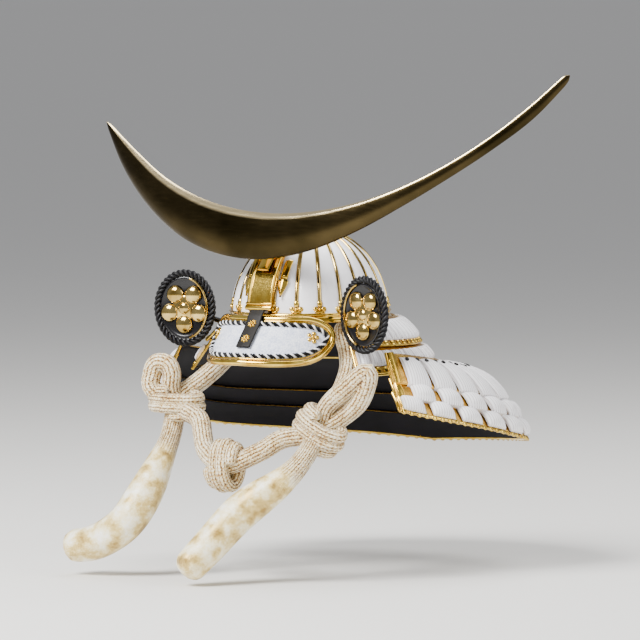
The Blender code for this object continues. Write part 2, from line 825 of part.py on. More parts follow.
def build_pad_lacing(name, lame, shift, start, top, bottom):
    """Lacing in separate pads, one to a column, on a thin tie."""
    first = LAMES[lame][0]
    columns = lame_columns(first)
    half = 0.36
    tie_top = top + (bottom - top) * 0.3
    tie_bottom = top + (bottom - top) * 0.7
    pad = (PAD_WALL, (top, bottom))
    tie = (TIE_WALL, (tie_top, tie_bottom))
    sections = []

    def cut(spot, form):
        sections.append(lacing_section(lame, spot, *form))

    middles = []
    middle = first + shift
    while middle < first + columns:
        if first + start <= middle - half and middle + half <= first + columns - start:
            middles.append(middle)
        middle += 1.0
    for middle in middles:
        for spot, form in ((middle - half, tie), (middle - half + 0.04, pad)):
            cut(spot, form)
        if abs(middle - round(middle)) < half - 0.05:
            cut(float(round(middle)), pad)
        for spot, form in ((middle + half - 0.04, pad), (middle + half, tie)):
            cut(spot, form)
        kink = math.floor(middle + half) + 1
        if middle != middles[-1] and kink < middle + 1.0 - half:
            cut(float(kink), tie)
    loft(name, sections, white(name))


def build_bracket(side, word):
    """A plain bracket from a side plate's back to the first neck plate."""
    frame = plate_frame(side)
    column = 1.0 if side > 0 else 23.0
    spread = 0.22
    ends = []
    for step, share in ((-spread, 0.12), (spread, 0.12), (spread, 0.62), (-spread, 0.62)):
        ends.append(lame_point("neck_plate_1", column + side * step + side * 0.5, share,
                               LAME_WALL + LACING_FIT))
    back = -PLATE_WALL / 2 - FIT
    half = BRACKET_WIDTH / 2
    middle = -side * PLATE_HALF_WIDTH * 0.35
    starts = [frame @ Vector((middle - side * half, -half / 2, back)),
              frame @ Vector((middle + side * half, -half / 2, back)),
              frame @ Vector((middle + side * half, -half * 2.5, back)),
              frame @ Vector((middle - side * half, -half * 2.5, back))]
    loft("turnback_bracket_" + word, [starts, ends], black("turnback_bracket_" + word))


def knot_frame(name):
    centre, half, tilt = KNOTS[name]
    turn = Matrix.Rotation(math.radians(tilt), 4, "Y")
    return Vector(centre), Vector(half), turn


def build_knot(name):
    centre, half, turn = knot_frame(name)
    form = bmesh.new()
    bmesh.ops.create_uvsphere(form, u_segments=12, v_segments=7, radius=1.0)
    bmesh.ops.scale(form, verts=form.verts, vec=half)
    knot = add(name, mesh_from(form, name), paint(name + "_brocade", (0.80, 0.68, 0.48), 0.7))
    knot.matrix_local = Matrix.Translation(centre) @ turn


def knot_face(name, towards):
    """Where a flat cord end, square to its way in, just clears the knot."""
    centre, half, turn = knot_frame(name)
    way = (Vector(towards) - centre).normalized()
    local = turn.inverted() @ way
    reach = Vector((local.x * half.x, local.y * half.y, local.z * half.z)).length
    return centre + way * (reach + FIT), way


def cord_line(route, spacing):
    """Points along a smooth curve through a cord's route, with straight ends at its knots."""
    stops = [Vector(stop) if not isinstance(stop, str) else None for stop in route]
    lead = CORD * 0.25
    if isinstance(route[0], str):
        face, way = knot_face(route[0], stops[1])
        stops = [face, face + way * lead] + stops[1:]
    if isinstance(route[-1], str):
        face, way = knot_face(route[-1], stops[-2])
        stops = stops[:-1] + [face + way * lead, face]
    points = [stops[0]]
    for index in range(len(stops) - 1):
        low, high = stops[index], stops[index + 1]
        before = stops[index - 1] if index else low * 2 - high
        after = stops[index + 2] if index + 2 < len(stops) else high * 2 - low
        pieces = max(1, round((high - low).length / spacing))
        for piece in range(1, pieces + 1):
            part = piece / pieces
            square = part * part
            cube = square * part
            points.append(0.5 * (2 * low + (high - before) * part
                                 + (2 * before - 5 * low + 4 * high - after) * square
                                 + (3 * low - before - 3 * high + after) * cube))
    return points


def build_cord(name):
    tail = name.endswith("tail")
    points = cord_line(ROUTES[name], CORD)
    swell = [(0.0, TAIL_START), (0.55, TAIL_BELLY), (1.0, TAIL_END)] if tail else None
    last = len(points) - 1
    radii = [(smooth_value(swell, 1, index / last) if tail else CORD) / 2
             for index in range(last + 1)]
    tube(name, points, radii, paint(name + "_brocade", (0.80, 0.68, 0.48), 0.7))


def build_ring(side, word):
    """A plain ring inside the base of the bowl, which holds the top of a cord."""
    route = ROUTES["cord_" + word + "_strand"]
    top = Vector(route[0])
    reach = RING_RADIUS + RING_WIRE + FIT
    name = "cord_ring_" + word
    angle = math.atan2(top.x, -top.y)
    out = outward(angle)
    centre = out * (bowl_edge(angle) - BOWL_WALL - RING_WIRE - RING_FIT)
    centre.z = top.z + reach
    across = Vector((0.0, 0.0, 1.0)).cross(out)
    turns = 10
    points = []
    for step in range(turns):
        angle = step * math.tau / turns
        points.append(centre + across * RING_RADIUS * math.cos(angle)
                      + Vector((0.0, 0.0, RING_RADIUS * math.sin(angle))))
    tube(name, points, [RING_WIRE] * turns, gold(name), closed=True, smoothness=1)


def build():
    build_bowl()
    build_ribs()
    build_waist_band()
    build_crown()
    build_holder()
    build_tongues()
    build_crescent()
    build_prong()
    build_visor()
    build_visor_piping()
    build_strap()
    build_studs()
    for name in LAMES:
        build_lame(name, 4 if name == "neck_plate_3" else 2)
    build_full_lacing("neck_lacing_1", "neck_plate_1", 2.0, 0.12, 0.86)
    build_full_lacing("neck_lacing_2", "neck_plate_2", 0.1, 0.28, 0.78)
    build_full_lacing("neck_lacing_3", "neck_plate_3", 0.4, 0.16, 0.92)
    build_pad_lacing("neck_lacing_4", "neck_plate_4", 1.0, 0.5, 0.30, 0.92)
    build_pad_lacing("neck_lacing_5", "neck_plate_5", 0.5, 0.1, 0.28, 0.92)
    for side, word in ((-1.0, "right"), (1.0, "left")):
        build_plate(side, word)
        build_bracket(side, word)
        build_ring(side, word)
    for name in KNOTS:
        build_knot(name)
    for name in ROUTES:
        build_cord(name)


clear_scene()
helmet = bpy.data.collections.new("kabuto_helmet")
helpers = bpy.data.collections.new("cutters")
bpy.context.scene.collection.children.link(helmet)
bpy.context.scene.collection.children.link(helpers)
seat = bpy.data.objects.new("head_seat", None)
seat.location.z = -SEAT_HEIGHT
helmet.objects.link(seat)
build()
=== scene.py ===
# %% [markdown]
# # A display kabuto with a crescent crest
# The helmet's plain solids are loaded first. They fix where everything is, and each finer piece
# below is then drawn round its own solid and hides it. Lengths are in metres. The wearer looks
# along -Y, their left is +X, and the origin is the top of the hollow inside the bowl.

# %% Load the solids
import json
import math
from functools import partial

import bmesh
import bpy
from mathutils import Matrix, Vector

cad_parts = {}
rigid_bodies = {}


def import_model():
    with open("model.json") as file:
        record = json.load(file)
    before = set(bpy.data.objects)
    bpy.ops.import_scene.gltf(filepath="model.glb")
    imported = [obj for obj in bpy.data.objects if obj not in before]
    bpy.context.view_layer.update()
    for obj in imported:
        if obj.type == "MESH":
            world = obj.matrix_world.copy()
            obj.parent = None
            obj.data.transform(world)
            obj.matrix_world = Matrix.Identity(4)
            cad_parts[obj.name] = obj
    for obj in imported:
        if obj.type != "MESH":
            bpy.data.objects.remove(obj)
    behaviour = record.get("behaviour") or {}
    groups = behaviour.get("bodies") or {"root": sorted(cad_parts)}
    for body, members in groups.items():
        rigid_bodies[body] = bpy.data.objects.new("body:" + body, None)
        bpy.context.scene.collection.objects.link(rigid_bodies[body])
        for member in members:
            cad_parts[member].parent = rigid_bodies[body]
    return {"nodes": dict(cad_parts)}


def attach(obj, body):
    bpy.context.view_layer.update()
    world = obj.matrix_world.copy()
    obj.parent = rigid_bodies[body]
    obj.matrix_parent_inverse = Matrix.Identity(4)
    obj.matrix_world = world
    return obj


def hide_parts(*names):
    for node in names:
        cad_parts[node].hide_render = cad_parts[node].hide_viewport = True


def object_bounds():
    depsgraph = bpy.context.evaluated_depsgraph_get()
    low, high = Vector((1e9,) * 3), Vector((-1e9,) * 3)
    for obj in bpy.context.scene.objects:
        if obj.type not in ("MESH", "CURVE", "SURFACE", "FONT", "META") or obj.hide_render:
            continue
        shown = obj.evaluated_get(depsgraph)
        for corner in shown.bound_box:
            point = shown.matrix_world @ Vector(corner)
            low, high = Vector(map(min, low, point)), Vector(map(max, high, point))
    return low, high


for started_with in list(bpy.data.objects):
    bpy.data.objects.remove(started_with)
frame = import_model()
solid_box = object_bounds()
MM = 0.001
SIDES = (("right", -1.0), ("left", 1.0))
scene = bpy.context.scene
print(len(frame["nodes"]), "solids loaded")

# %% [markdown]
# ## Camera
# A long lens from nearly four metres keeps the helmet's proportions almost flat. The camera
# stands 34 degrees round to the wearer's left and a little above the helmet.

# %% Camera
VIEW_TURN = math.radians(34.0)
VIEW_RISE = math.radians(3.4)
VIEW_DISTANCE = 3.7
VIEW_WIDTH = 0.38
VIEW_AIM = Vector((0.0048, 0.0032, -0.053))


def towards(turn, rise):
    """The direction at a turn from the front, towards the wearer's left, and a rise."""
    return Vector((math.sin(turn) * math.cos(rise), -math.cos(turn) * math.cos(rise),
                   math.sin(rise)))


def stand(name, data, way, distance):
    """Puts a camera or a lamp at a distance from the helmet, looking at it."""
    made = bpy.data.objects.new(name, data)
    made.location = VIEW_AIM + way * distance
    made.rotation_mode = "QUATERNION"
    made.rotation_quaternion = way.to_track_quat("Z", "Y")
    scene.collection.objects.link(made)
    return made


lens = bpy.data.cameras.new("camera")
lens.lens = lens.sensor_width * VIEW_DISTANCE / VIEW_WIDTH
lens.clip_start = 0.1
lens.clip_end = 50.0
scene.camera = stand("camera", lens, towards(VIEW_TURN, VIEW_RISE), VIEW_DISTANCE)

# %% [markdown]
# ## Helpers for nodes
# Materials and Geometry Nodes are both trees of nodes, so one function adds a node to either of
# them, and another strings several together, such as steps of arithmetic.

# %% Helpers for nodes
MATH = "ShaderNodeMath"
NOISE = "ShaderNodeTexNoise"


def feed(made, feeds):
    """Sets a node's sockets to values, or links them to a socket or a node's first output."""
    for key, value in feeds.items() if isinstance(feeds, dict) else enumerate(feeds):
        if isinstance(value, bpy.types.Node):
            value = value.outputs[0]
        if isinstance(value, bpy.types.NodeSocket):
            made.id_data.links.new(value, made.inputs[key])
        else:
            made.inputs[key].default_value = value


def node(tree, kind, feeds=(), **settings):
    """Adds a node: settings are its own, feeds are for its sockets by name or in order."""
    made = tree.nodes.new(kind)
    for key, value in settings.items():
        setattr(made, key, value)
    feed(made, feeds)
    return made


def series(add, kind, value, *steps):
    """Carries a value through nodes of one kind, each an operation and its further feeds."""
    for operation, *others in steps:
        value = add(kind, [value, *others], operation=operation)
    return value


print("arithmetic is a", MATH, "and soft patches are a", NOISE)

# %% [markdown]
# ## Helpers for finishes
# A finish is a material that is named for what it is made of. Its patterns lie on the object
# and their scales come from real sizes. Colours are written as on screen, in sRGB hex, and
# turned to linear light here.


# %% Helpers for finishes
def linear(code):
    """An sRGB hex colour as linear light."""
    parts = [int(code[k:k + 2], 16) / 255 for k in (1, 3, 5)]
    return [p / 12.92 if p <= 0.04045 else ((p + 0.055) / 1.055) ** 2.4 for p in parts] + [1.0]


def finish(name):
    """A new material, a function that adds nodes to it, and its shader."""
    material = bpy.data.materials.new(name)
    material.use_nodes = True
    tree = material.node_tree
    return material, partial(node, tree), tree.nodes["Principled BSDF"]


def pattern(add, kind, size, place=None, **feeds):
    """A texture whose figures are about a size in metres, on the object or another place."""
    place = place or add("ShaderNodeTexCoord").outputs["Object"]
    return add(kind, {"Vector": place, "Scale": 1 / size, **feeds})


def blend_colours(add, share, *stops):
    """A colour ramp: stops are pairs of a place from 0 to 1 and a hex colour."""
    ramp = add("ShaderNodeValToRGB", [share])
    while len(ramp.color_ramp.elements) < len(stops):
        ramp.color_ramp.elements.new(0.5)
    for element, (place, code) in zip(ramp.color_ramp.elements, stops):
        element.position = place
        element.color = linear(code)
    return ramp


def clothe(add, skin, tone, height, depth, **values):
    """Gives the shader a colour, a relief from 0 to 1 of a depth in metres, and other values."""
    bump = add("ShaderNodeBump", {"Height": height, "Distance": depth, "Strength": 1.0})
    feed(skin, {"Base Color": tone, "Normal": bump})
    feed(skin, {key.replace("_", " "): value for key, value in values.items()})


print("middle grey in linear light:", round(linear("#808080")[0], 3))

# %% [markdown]
# ## Gold plate
# The fittings are brass with a thin gold plate, polished after casting. Polish leaves a sharp
# reflection that breaks up a little where the plate is thin, so the roughness and the tone both
# wander over a few millimetres.


# %% Gold plate
def gold_plate(name, dark, bright, smooth, rough):
    material, add, skin = finish(name)
    grain = pattern(add, NOISE, 0.7 * MM, Detail=3.0)
    patches = pattern(add, NOISE, 9 * MM, Detail=5.0)
    tone = blend_colours(add, patches, (0.3, dark), (0.7, bright))
    dull = add("ShaderNodeMapRange", {"Value": grain, "From Min": 0.3, "From Max": 0.7,
                                      "To Min": smooth, "To Max": rough})
    clothe(add, skin, tone, grain, 0.012 * MM, Roughness=dull, Metallic=1.0)
    return material


polished_gold = gold_plate("polished_gold_plate", "#c09328", "#f1cf63", 0.08, 0.22)
# A darker copy of the gold plate, whose darkness is a painted dark reflection. It is used on the
# ribs and the plum crests.
deep_gold = gold_plate("deep_gold_plate", "#8d6f2e", "#dcc077", 0.06, 0.16)
satin_gold = gold_plate("satin_gold_plate", "#b07e2a", "#e2b75a", 0.22, 0.38)
print("gold finishes:", polished_gold.name, deep_gold.name, satin_gold.name)

# %% [markdown]
# ## Bronze with painted reflection and highlight
# The crescent is polished bronze, like a mirror. Its face is painted dark, partly its own bronze
# and partly a painted dark reflection, and its upper chamfer is painted bright as a highlight. The
# mesh stores a number called polish, 0 on the face and 1 on the chamfer, and the colour
# follows it. The faint long streaks of the polishing wheel run along the horns.

# %% Bronze with painted reflection and highlight
crescent_bronze, add, skin = finish("dark_polished_bronze")
stretch = add("ShaderNodeMapping", {"Vector": add("ShaderNodeTexCoord").outputs["Object"],
                                    "Scale": (0.12, 1.0, 1.0)})
streak = pattern(add, NOISE, 1.6 * MM, stretch, Detail=4.0)
polish = add("ShaderNodeAttribute", attribute_name="polish")
patches = pattern(add, NOISE, 45 * MM, Detail=3.0)
# Painted dark reflection: the face's dark tone stands partly for a dark room mirrored in the
# bronze.
face_tone = blend_colours(add, patches, (0.35, "#2a2312"), (0.65, "#463b24"))
# Painted highlight: where the stored number is 1, on the chamfer, the colour is pale as if lit
# from above.
bright = add("ShaderNodeMix", {"Factor": polish.outputs["Fac"], 6: face_tone,
                               7: linear("#fbe3ad")}, data_type="RGBA")
dull = add("ShaderNodeMapRange", {"Value": streak, "To Min": 0.12, "To Max": 0.34})
clothe(add, skin, bright.outputs[2], streak, 0.01 * MM, Roughness=dull, Metallic=1.0)
print("crescent finish:", crescent_bronze.name)

# %% [markdown]
# ## Lacquer, leather and silk
# Lacquer is a hard clear skin over colour: the black side plates take a deep gloss, while the
# white bowl is satin with the faint orange peel of a sprayed coat. The visor is covered in thin
# white leather, whose pebbled grain is drawn about twice as coarse as real so that it shows.


# %% Lacquer, leather and silk
def lacquer(name, dark, bright, roughness, coat, peel, depth, specular=0.5):
    """A plain skin over a tone that wanders a little. Peel and depth are its grain, in mm."""
    material, add, skin = finish(name)
    patches = pattern(add, NOISE, 14 * MM, Detail=4.0)
    tone = blend_colours(add, patches, (0.3, dark), (0.7, bright))
    clothe(add, skin, tone, pattern(add, NOISE, peel * MM, Detail=2.0), depth * MM,
           Roughness=roughness, Coat_Weight=coat, Coat_Roughness=0.08,
           Specular_IOR_Level=specular)
    return material


white_lacquer = lacquer("white_lacquer", "#e9e6e8", "#fbfafb", 0.34, 0.35, 1.1, 0.03)
black_lacquer = lacquer("black_lacquer", "#040305", "#0b090c", 0.28, 0.35, 2.5, 0.01, 0.25)
black_lining = lacquer("black_matt_lining", "#050407", "#0e0b12", 0.7, 0.0, 1.2, 0.05, 0.2)
black_leather = lacquer("black_strap_leather", "#0a0806", "#15110c", 0.55, 0.0, 0.8, 0.06, 0.25)
black_silk = lacquer("black_silk", "#040405", "#100e12", 0.5, 0.0, 0.5, 0.10, 0.3)
white_silk = lacquer("white_silk", "#e6e3e2", "#ffffff", 0.55, 0.0, 0.5, 0.10)

white_leather, add, skin = finish("white_grained_leather")
pebble = pattern(add, "ShaderNodeTexVoronoi", 0.9 * MM)
crease = pattern(add, NOISE, 3.5 * MM, Detail=5.0)
tone = blend_colours(add, crease, (0.35, "#d9dde9"), (0.65, "#f7f8fb"))
shade = blend_colours(add, pebble, (0.25, "#ffffff"), (0.75, "#ccd2e2"))
# Painted shade: the gaps between pebbles are darkened and tinted blue, multiplied over the tone.
worn = add("ShaderNodeMix", {"Factor": 0.8, 6: tone, 7: shade}, data_type="RGBA",
           blend_type="MULTIPLY")
grain = series(add, MATH, 1.0, ("SUBTRACT", pebble))
clothe(add, skin, worn.outputs[2], grain, 0.10 * MM, Roughness=0.52)
print("visor finish:", white_leather.name)

# %% [markdown]
# ## Braided lacing
# The neck guard is laced with flat silk braids laid side by side. A piece's UV map holds real
# lengths, across and along the braid, so the pattern is the same size on every pad: braids
# 1.7 mm wide, each with the chevron that its plaited threads make.


# %% Braided lacing
def chevrons(add, surface, width, step):
    """The relief of plaited threads, from about 0 in the gaps to 1 on the crowns."""
    spot = add("ShaderNodeSeparateXYZ", [surface]).outputs
    side = series(add, MATH, spot["X"], ("DIVIDE", width), ("FRACT",), ("SUBTRACT", 0.5),
                  ("ABSOLUTE",))
    slope = series(add, MATH, spot["Y"], ("DIVIDE", step))
    crown = series(add, MATH, side, ("POWER", 2.4), ("MULTIPLY_ADD", -4.0, 0.82))
    return series(add, MATH, side, ("MULTIPLY_ADD", 1.6, slope), ("MULTIPLY", math.tau), ("SINE",),
                  ("MULTIPLY_ADD", 0.18, crown))


white_lacing, add, skin = finish("white_braided_lacing")
relief = chevrons(add, add("ShaderNodeUVMap", uv_map="surface"), 1.7 * MM, 1.1 * MM)
# Painted shade: the braid is coloured greyer in the gaps between braids and white on the crowns.
tone = blend_colours(add, relief, (0.05, "#b9b1b4"), (0.45, "#ece7e8"), (0.9, "#ffffff"))
clothe(add, skin, tone, relief, 0.22 * MM, Roughness=0.62, Sheen_Weight=0.25)
print("lacing finish:", white_lacing.name)

# %% [markdown]
# ## Gold brocade
# The chin cord is a thick round braid of cream silk and gold thread. The gold lies in the gaps
# and shows as brown-gold flecks between pale chevrons, 2.2 mm wide, and the gaps are also painted
# darker as shade. The tails begin as the same braid and then swell into stuffed white satin with
# patches of woven gold. Gold thread is thin foil, so where the satin's gold patches show the
# surface turns half metallic.


# %% Gold brocade
def brocade(name, satin_from):
    """The braid, which turns to satin beyond a length from where the cord starts."""
    material, add, skin = finish(name)
    surface = add("ShaderNodeUVMap", uv_map="surface")
    shake = pattern(add, NOISE, 2.2 * MM, Detail=2.0).outputs["Color"]
    astray = add("ShaderNodeVectorMath", [shake, (0.5, 0.5, 0.5)], operation="SUBTRACT")
    astray = add("ShaderNodeVectorMath", {0: astray, "Scale": 1.5 * MM}, operation="SCALE")
    loose = add("ShaderNodeVectorMath", [surface, astray], operation="ADD")
    relief = chevrons(add, loose, 2.2 * MM, 1.8 * MM)
    patch = pattern(add, NOISE, 9 * MM, Detail=4.0)
    # Painted shade: the relief term darkens the gaps between chevrons, on top of the gold thread's
    # own brown-gold.
    level = series(add, MATH, relief, ("MULTIPLY_ADD", 0.50, -0.16))
    fleck = pattern(add, NOISE, 1.5 * MM, Detail=3.0)
    level = series(add, MATH, fleck, ("MULTIPLY_ADD", 0.75, level))
    level = series(add, MATH, patch, ("MULTIPLY_ADD", 0.45, level))
    braid = blend_colours(add, level, (0.50, "#5c3a10"), (0.62, "#a8742a"), (0.76, "#e0c484"),
                          (0.93, "#fbf1d6"))
    weave = add("ShaderNodeTexVoronoi", {"Vector": surface, "Scale": 1 / (0.9 * MM),
                                         "Randomness": 0.6}, distance="MANHATTAN")
    figure = series(add, MATH, weave, ("MULTIPLY_ADD", 0.10, patch))
    satin = blend_colours(add, figure, (0.38, "#fffbee"), (0.50, "#f4e8bc"),
                          (0.63, "#d8bc70"), (0.80, "#9c7a30"))
    length = add("ShaderNodeSeparateXYZ", [surface]).outputs["Y"]
    soft = add("ShaderNodeMapRange", {"Value": length, "From Min": satin_from,
                                      "From Max": satin_from + 9 * MM})
    tone = add("ShaderNodeMix", {"Factor": soft, 6: braid, 7: satin}, data_type="RGBA")
    gilt = add("ShaderNodeMapRange", {"Value": figure, "From Min": 0.60, "From Max": 0.78,
                                      "To Max": 0.45})
    drawn = add("ShaderNodeMapping", {"Vector": surface, "Scale": (1.0, 0.35, 1.0)})
    fold = pattern(add, NOISE, 6 * MM, drawn, Detail=3.0, Distortion=0.5)
    height = add("ShaderNodeMix", {"Factor": soft, 2: relief, 3: fold})
    clothe(add, skin, tone.outputs[2], height, 0.8 * MM,
           Metallic=series(add, MATH, gilt, ("MULTIPLY", soft)), Roughness=0.38, Sheen_Weight=0.25)
    return material


BEYOND_ANY_CORD = 9.0
cord_brocade = brocade("cream_gold_brocade", BEYOND_ANY_CORD)
tail_brocade = brocade("satin_ended_brocade", 30 * MM)
print("cloth finishes:", cord_brocade.name, tail_brocade.name)

# %% [markdown]
# ## Pieces
# Heights are counted from the bowl's base while a piece is drawn, as a maker would measure them.
# piece() then lowers the mesh to the origin's height, gives it its finish, and hides the solids it
# stands for.

# %% Pieces
SEAT = 48.5 * MM
RIGHT_ANGLE = math.pi / 2


def upward(height):
    return Vector((0.0, 0.0, height))


def piece(name, mesh, materials, slot, *solids):
    """Puts a drawn mesh in place as one finished piece."""
    mesh.transform(Matrix.Translation(upward(-SEAT)))
    made = bpy.data.objects.new(name, mesh)
    scene.collection.objects.link(made)
    finishes = materials if isinstance(materials, list) else [materials]
    if list(mesh.materials) != finishes:
        mesh.materials.clear()
        for material in finishes:
            mesh.materials.append(material)
    mesh.shade_smooth()
    mesh.set_sharp_from_angle(angle=math.radians(50.0))
    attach(made, "root")
    if solids:
        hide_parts(*solids)
    return made


def gold_piece(name, mesh, *solids):
    return piece(name, mesh, polished_gold, "gold_plate", *solids)


def give_wall(made, wall, side=-1.0):
    """Gives a sheet its thickness: side is 1 outwards and -1 inwards."""
    solid = made.modifiers.new("wall", "SOLIDIFY")
    solid.thickness = wall
    solid.offset = side
    solid.use_even_offset = True
    return solid


print("pieces are lowered by", SEAT, "m")

# %% [markdown]
# ## Meshes
# Sheets, tubes and domes are all rows of points with faces between them, so one function makes
# every one of them. A mesh can also store a number on each point for a tree or a finish to read.


# %% Meshes
def rows_of(columns, rows, place, closed=False):
    """Rows of place(across, up), both from 0 to 1. A closed row leaves out its last place."""
    return [[place(c / columns, r / rows) for c in range(columns + (not closed))]
            for r in range(rows + 1)]


def row_form(rows, closed=False, caps=0, looped=False, chart=None):
    """Faces between rows of points, the last of which may be a single tip. closed joins each
    row's ends, looped joins the last row to the first, caps is how many end rows are filled,
    and chart(column, row) gives the UV map."""
    form = bmesh.new()
    layer = form.loops.layers.uv.new("surface") if chart else None
    rows = [[form.verts.new(point) for point in row] for row in rows]
    for r, (low, high) in enumerate(zip(rows, rows[1:] + (rows[:1] if looped else []))):
        for c in range(len(low) - (not closed)):
            after = (c + 1) % len(low)
            if len(high) == 1:
                form.faces.new((low[c], low[after], high[0]))
                continue
            face = form.faces.new((low[c], low[after], high[after], high[c]))
            if chart:
                for loop, spot in zip(face.loops, ((c, r), (c + 1, r), (c + 1, r + 1),
                                                   (c, r + 1))):
                    loop[layer].uv = chart(*spot)
    for row in (rows[0], rows[-1])[:caps]:
        form.faces.new(row)
    if closed:
        bmesh.ops.recalc_face_normals(form, faces=form.faces)
    return form


def form_mesh(form, name, clean=False):
    """Turns a bmesh into a mesh. If asked, merges its doubles and turns its faces outwards."""
    if clean:
        bmesh.ops.remove_doubles(form, verts=form.verts, dist=0.001 * MM)
        bmesh.ops.recalc_face_normals(form, faces=form.faces)
    mesh = bpy.data.meshes.new(name)
    form.to_mesh(mesh)
    form.free()
    return mesh


def store(mesh, name, values, kind="FLOAT"):
    """Stores a number, or a vector's three, on each point of a mesh."""
    layer = mesh.attributes.new(name, kind, "POINT")
    layer.data.foreach_set("value" if kind == "FLOAT" else "vector", values)


print("a sheet's corners:", rows_of(1, 1, lambda across, up: (across, up)))

# %% [markdown]
# ## The bowl's shape
# Everything on the bowl is placed by a direction from its middle and a lift off its surface. The
# base is an oval, 88 mm across and 99 mm long, and the crown is 50 mm above it.

# %% The bowl's shape
HALF_WIDTH = 44.0 * MM
HALF_LENGTH = 49.5 * MM
HEIGHT = 50.0 * MM
GORES = 22
PUFF = 1.3 * MM


def outward(turn):
    """The level direction at a turn from the front, towards the wearer's left."""
    return towards(turn, 0.0)


def bowl_edge(turn):
    """Half the bowl's base in that direction."""
    return 1.0 / math.hypot(math.sin(turn) / HALF_WIDTH, math.cos(turn) / HALF_LENGTH)


def on_bowl(turn, tilt, lift=0.0):
    """A point over the bowl: tilt is zero at the crown and a right angle at the base."""
    level = outward(turn) * (bowl_edge(turn) + lift) * math.sin(tilt)
    return level + upward((HEIGHT + lift) * math.cos(tilt))


def tilt_at(height):
    return math.acos(height / HEIGHT)


print("bowl base:", round(bowl_edge(RIGHT_ANGLE) * 2000), "x", round(bowl_edge(0.0) * 2000), "mm")

# %% [markdown]
# ## Node tree: one part repeated round the bowl
# The bowl is made as its maker makes it, from one gore repeated. The part to repeat is drawn on
# a unit ball, at the front, with its lift stored on each point. The tree turns copies of it
# about the upright axis, joins them, and only then swells the ball to the oval of the bowl.
# Every tree begins, ends and is run in the same way.


# %% Building and running a tree
def new_tree(name, sockets):
    """An empty Geometry Nodes tree with named inputs, what adds its nodes, and its inlet."""
    tree = bpy.data.node_groups.new(name, "GeometryNodeTree")
    tree.is_modifier = True
    tree.interface.new_socket("Geometry", in_out="OUTPUT", socket_type="NodeSocketGeometry")
    for label, kind in {"Geometry": "Geometry", **sockets, "Material": "Material"}.items():
        tree.interface.new_socket(label, in_out="INPUT", socket_type="NodeSocket" + kind)
    return tree, partial(node, tree), node(tree, "NodeGroupInput").outputs


def close_tree(add, geometry, *paints):
    """Ends a tree in Realize Instances and a Set Material for each material and selection."""
    geometry = add("GeometryNodeRealizeInstances", [geometry])
    for material, selection in paints:
        geometry = add("GeometryNodeSetMaterial", {
            "Geometry": geometry, "Material": material, "Selection": selection})
    add("NodeGroupOutput", [geometry])


def turned_copies(add, part, count):
    """Copies of a part, turned about the upright axis by even steps."""
    step = series(add, MATH, math.tau, ("DIVIDE", count))
    turn = series(add, MATH, add("GeometryNodeInputIndex"), ("MULTIPLY", step))
    spin = add("FunctionNodeEulerToRotation", [add("ShaderNodeCombineXYZ", {"Z": turn})])
    return add("GeometryNodeInstanceOnPoints", {
        "Points": add("GeometryNodePoints", [count]), "Instance": part, "Rotation": spin})


def grow(name, tree, carrier, **sizes):
    """Runs a tree on a carrier mesh and keeps the result as a plain mesh."""
    holder = bpy.data.objects.new(name + "_carrier", carrier)
    scene.collection.objects.link(holder)
    modifier = holder.modifiers.new("grow", "NODES")
    modifier.node_group = tree
    sockets = {item.name.replace(" ", "_").lower(): item.identifier
               for item in tree.interface.items_tree if item.in_out == "INPUT"}
    for key, value in sizes.items():
        modifier[sockets[key]] = value
    graph = bpy.context.evaluated_depsgraph_get()
    mesh = bpy.data.meshes.new_from_object(holder.evaluated_get(graph))
    mesh.name = name
    bpy.data.objects.remove(holder)
    return mesh


print("trees end in Realize Instances and Set Material")

# %% [markdown]
# This tree is the bowl's own. It reads the stored lift, and finds how far the oval's edge is in
# each direction, so a part keeps its lift all the way round.

# %% The bowl's tree
ring_tree, add, inlet = new_tree("round_the_bowl", {
    "Copies": "Int", "Half Width": "Float", "Half Length": "Float", "Height": "Float"})
copies = turned_copies(add, inlet["Geometry"], inlet["Copies"])
real = add("GeometryNodeRealizeInstances", [copies])
place = add("GeometryNodeInputPosition")
lift = add("GeometryNodeInputNamedAttribute", ["lift"])
level = add("ShaderNodeVectorMath", [place, (1.0, 1.0, 0.0)], operation="MULTIPLY")
oval = add("ShaderNodeCombineXYZ", [inlet["Half Width"], inlet["Half Length"], 1.0])
ratio = add("ShaderNodeVectorMath", [level, oval], operation="DIVIDE")
reach, spread = (add("ShaderNodeVectorMath", [way], operation="LENGTH").outputs["Value"]
                 for way in (level, ratio))
out = series(add, MATH, reach, ("DIVIDE", spread), ("ADD", lift))
rise = series(add, MATH, inlet["Height"], ("ADD", lift))
swollen = add("ShaderNodeVectorMath", [place, add("ShaderNodeCombineXYZ", [out, out, rise])],
              operation="MULTIPLY")
shaped = add("GeometryNodeSetPosition", {"Geometry": real, "Position": swollen})
whole = add("GeometryNodeMergeByDistance", {"Geometry": shaped, "Distance": 0.003 * MM})
close_tree(add, whole, (inlet["Material"], True))


def round_bowl(name, rows, material, closed=False, caps=0):
    """Repeats a part round the bowl. Its rows hold spots of a turn, a tilt and a lift."""
    form = row_form([[outward(turn) * math.sin(tilt) + upward(math.cos(tilt))
                      for turn, tilt, _ in row] for row in rows], closed, caps)
    carrier = form_mesh(form, name)
    store(carrier, "lift", [lift for row in rows for _, _, lift in row])
    return grow(name, ring_tree, carrier, copies=GORES, half_width=HALF_WIDTH,
                half_length=HALF_LENGTH, height=HEIGHT, material=material)


print("tree:", ring_tree.name)

# %% [markdown]
# ## The white bowl
# One gore is a strip from the crown to the base that swells between two ribs, flat across its
# middle and turned in sharply at its edges. Twenty-two of them make the bowl, and Solidify
# gives the shell its wall.


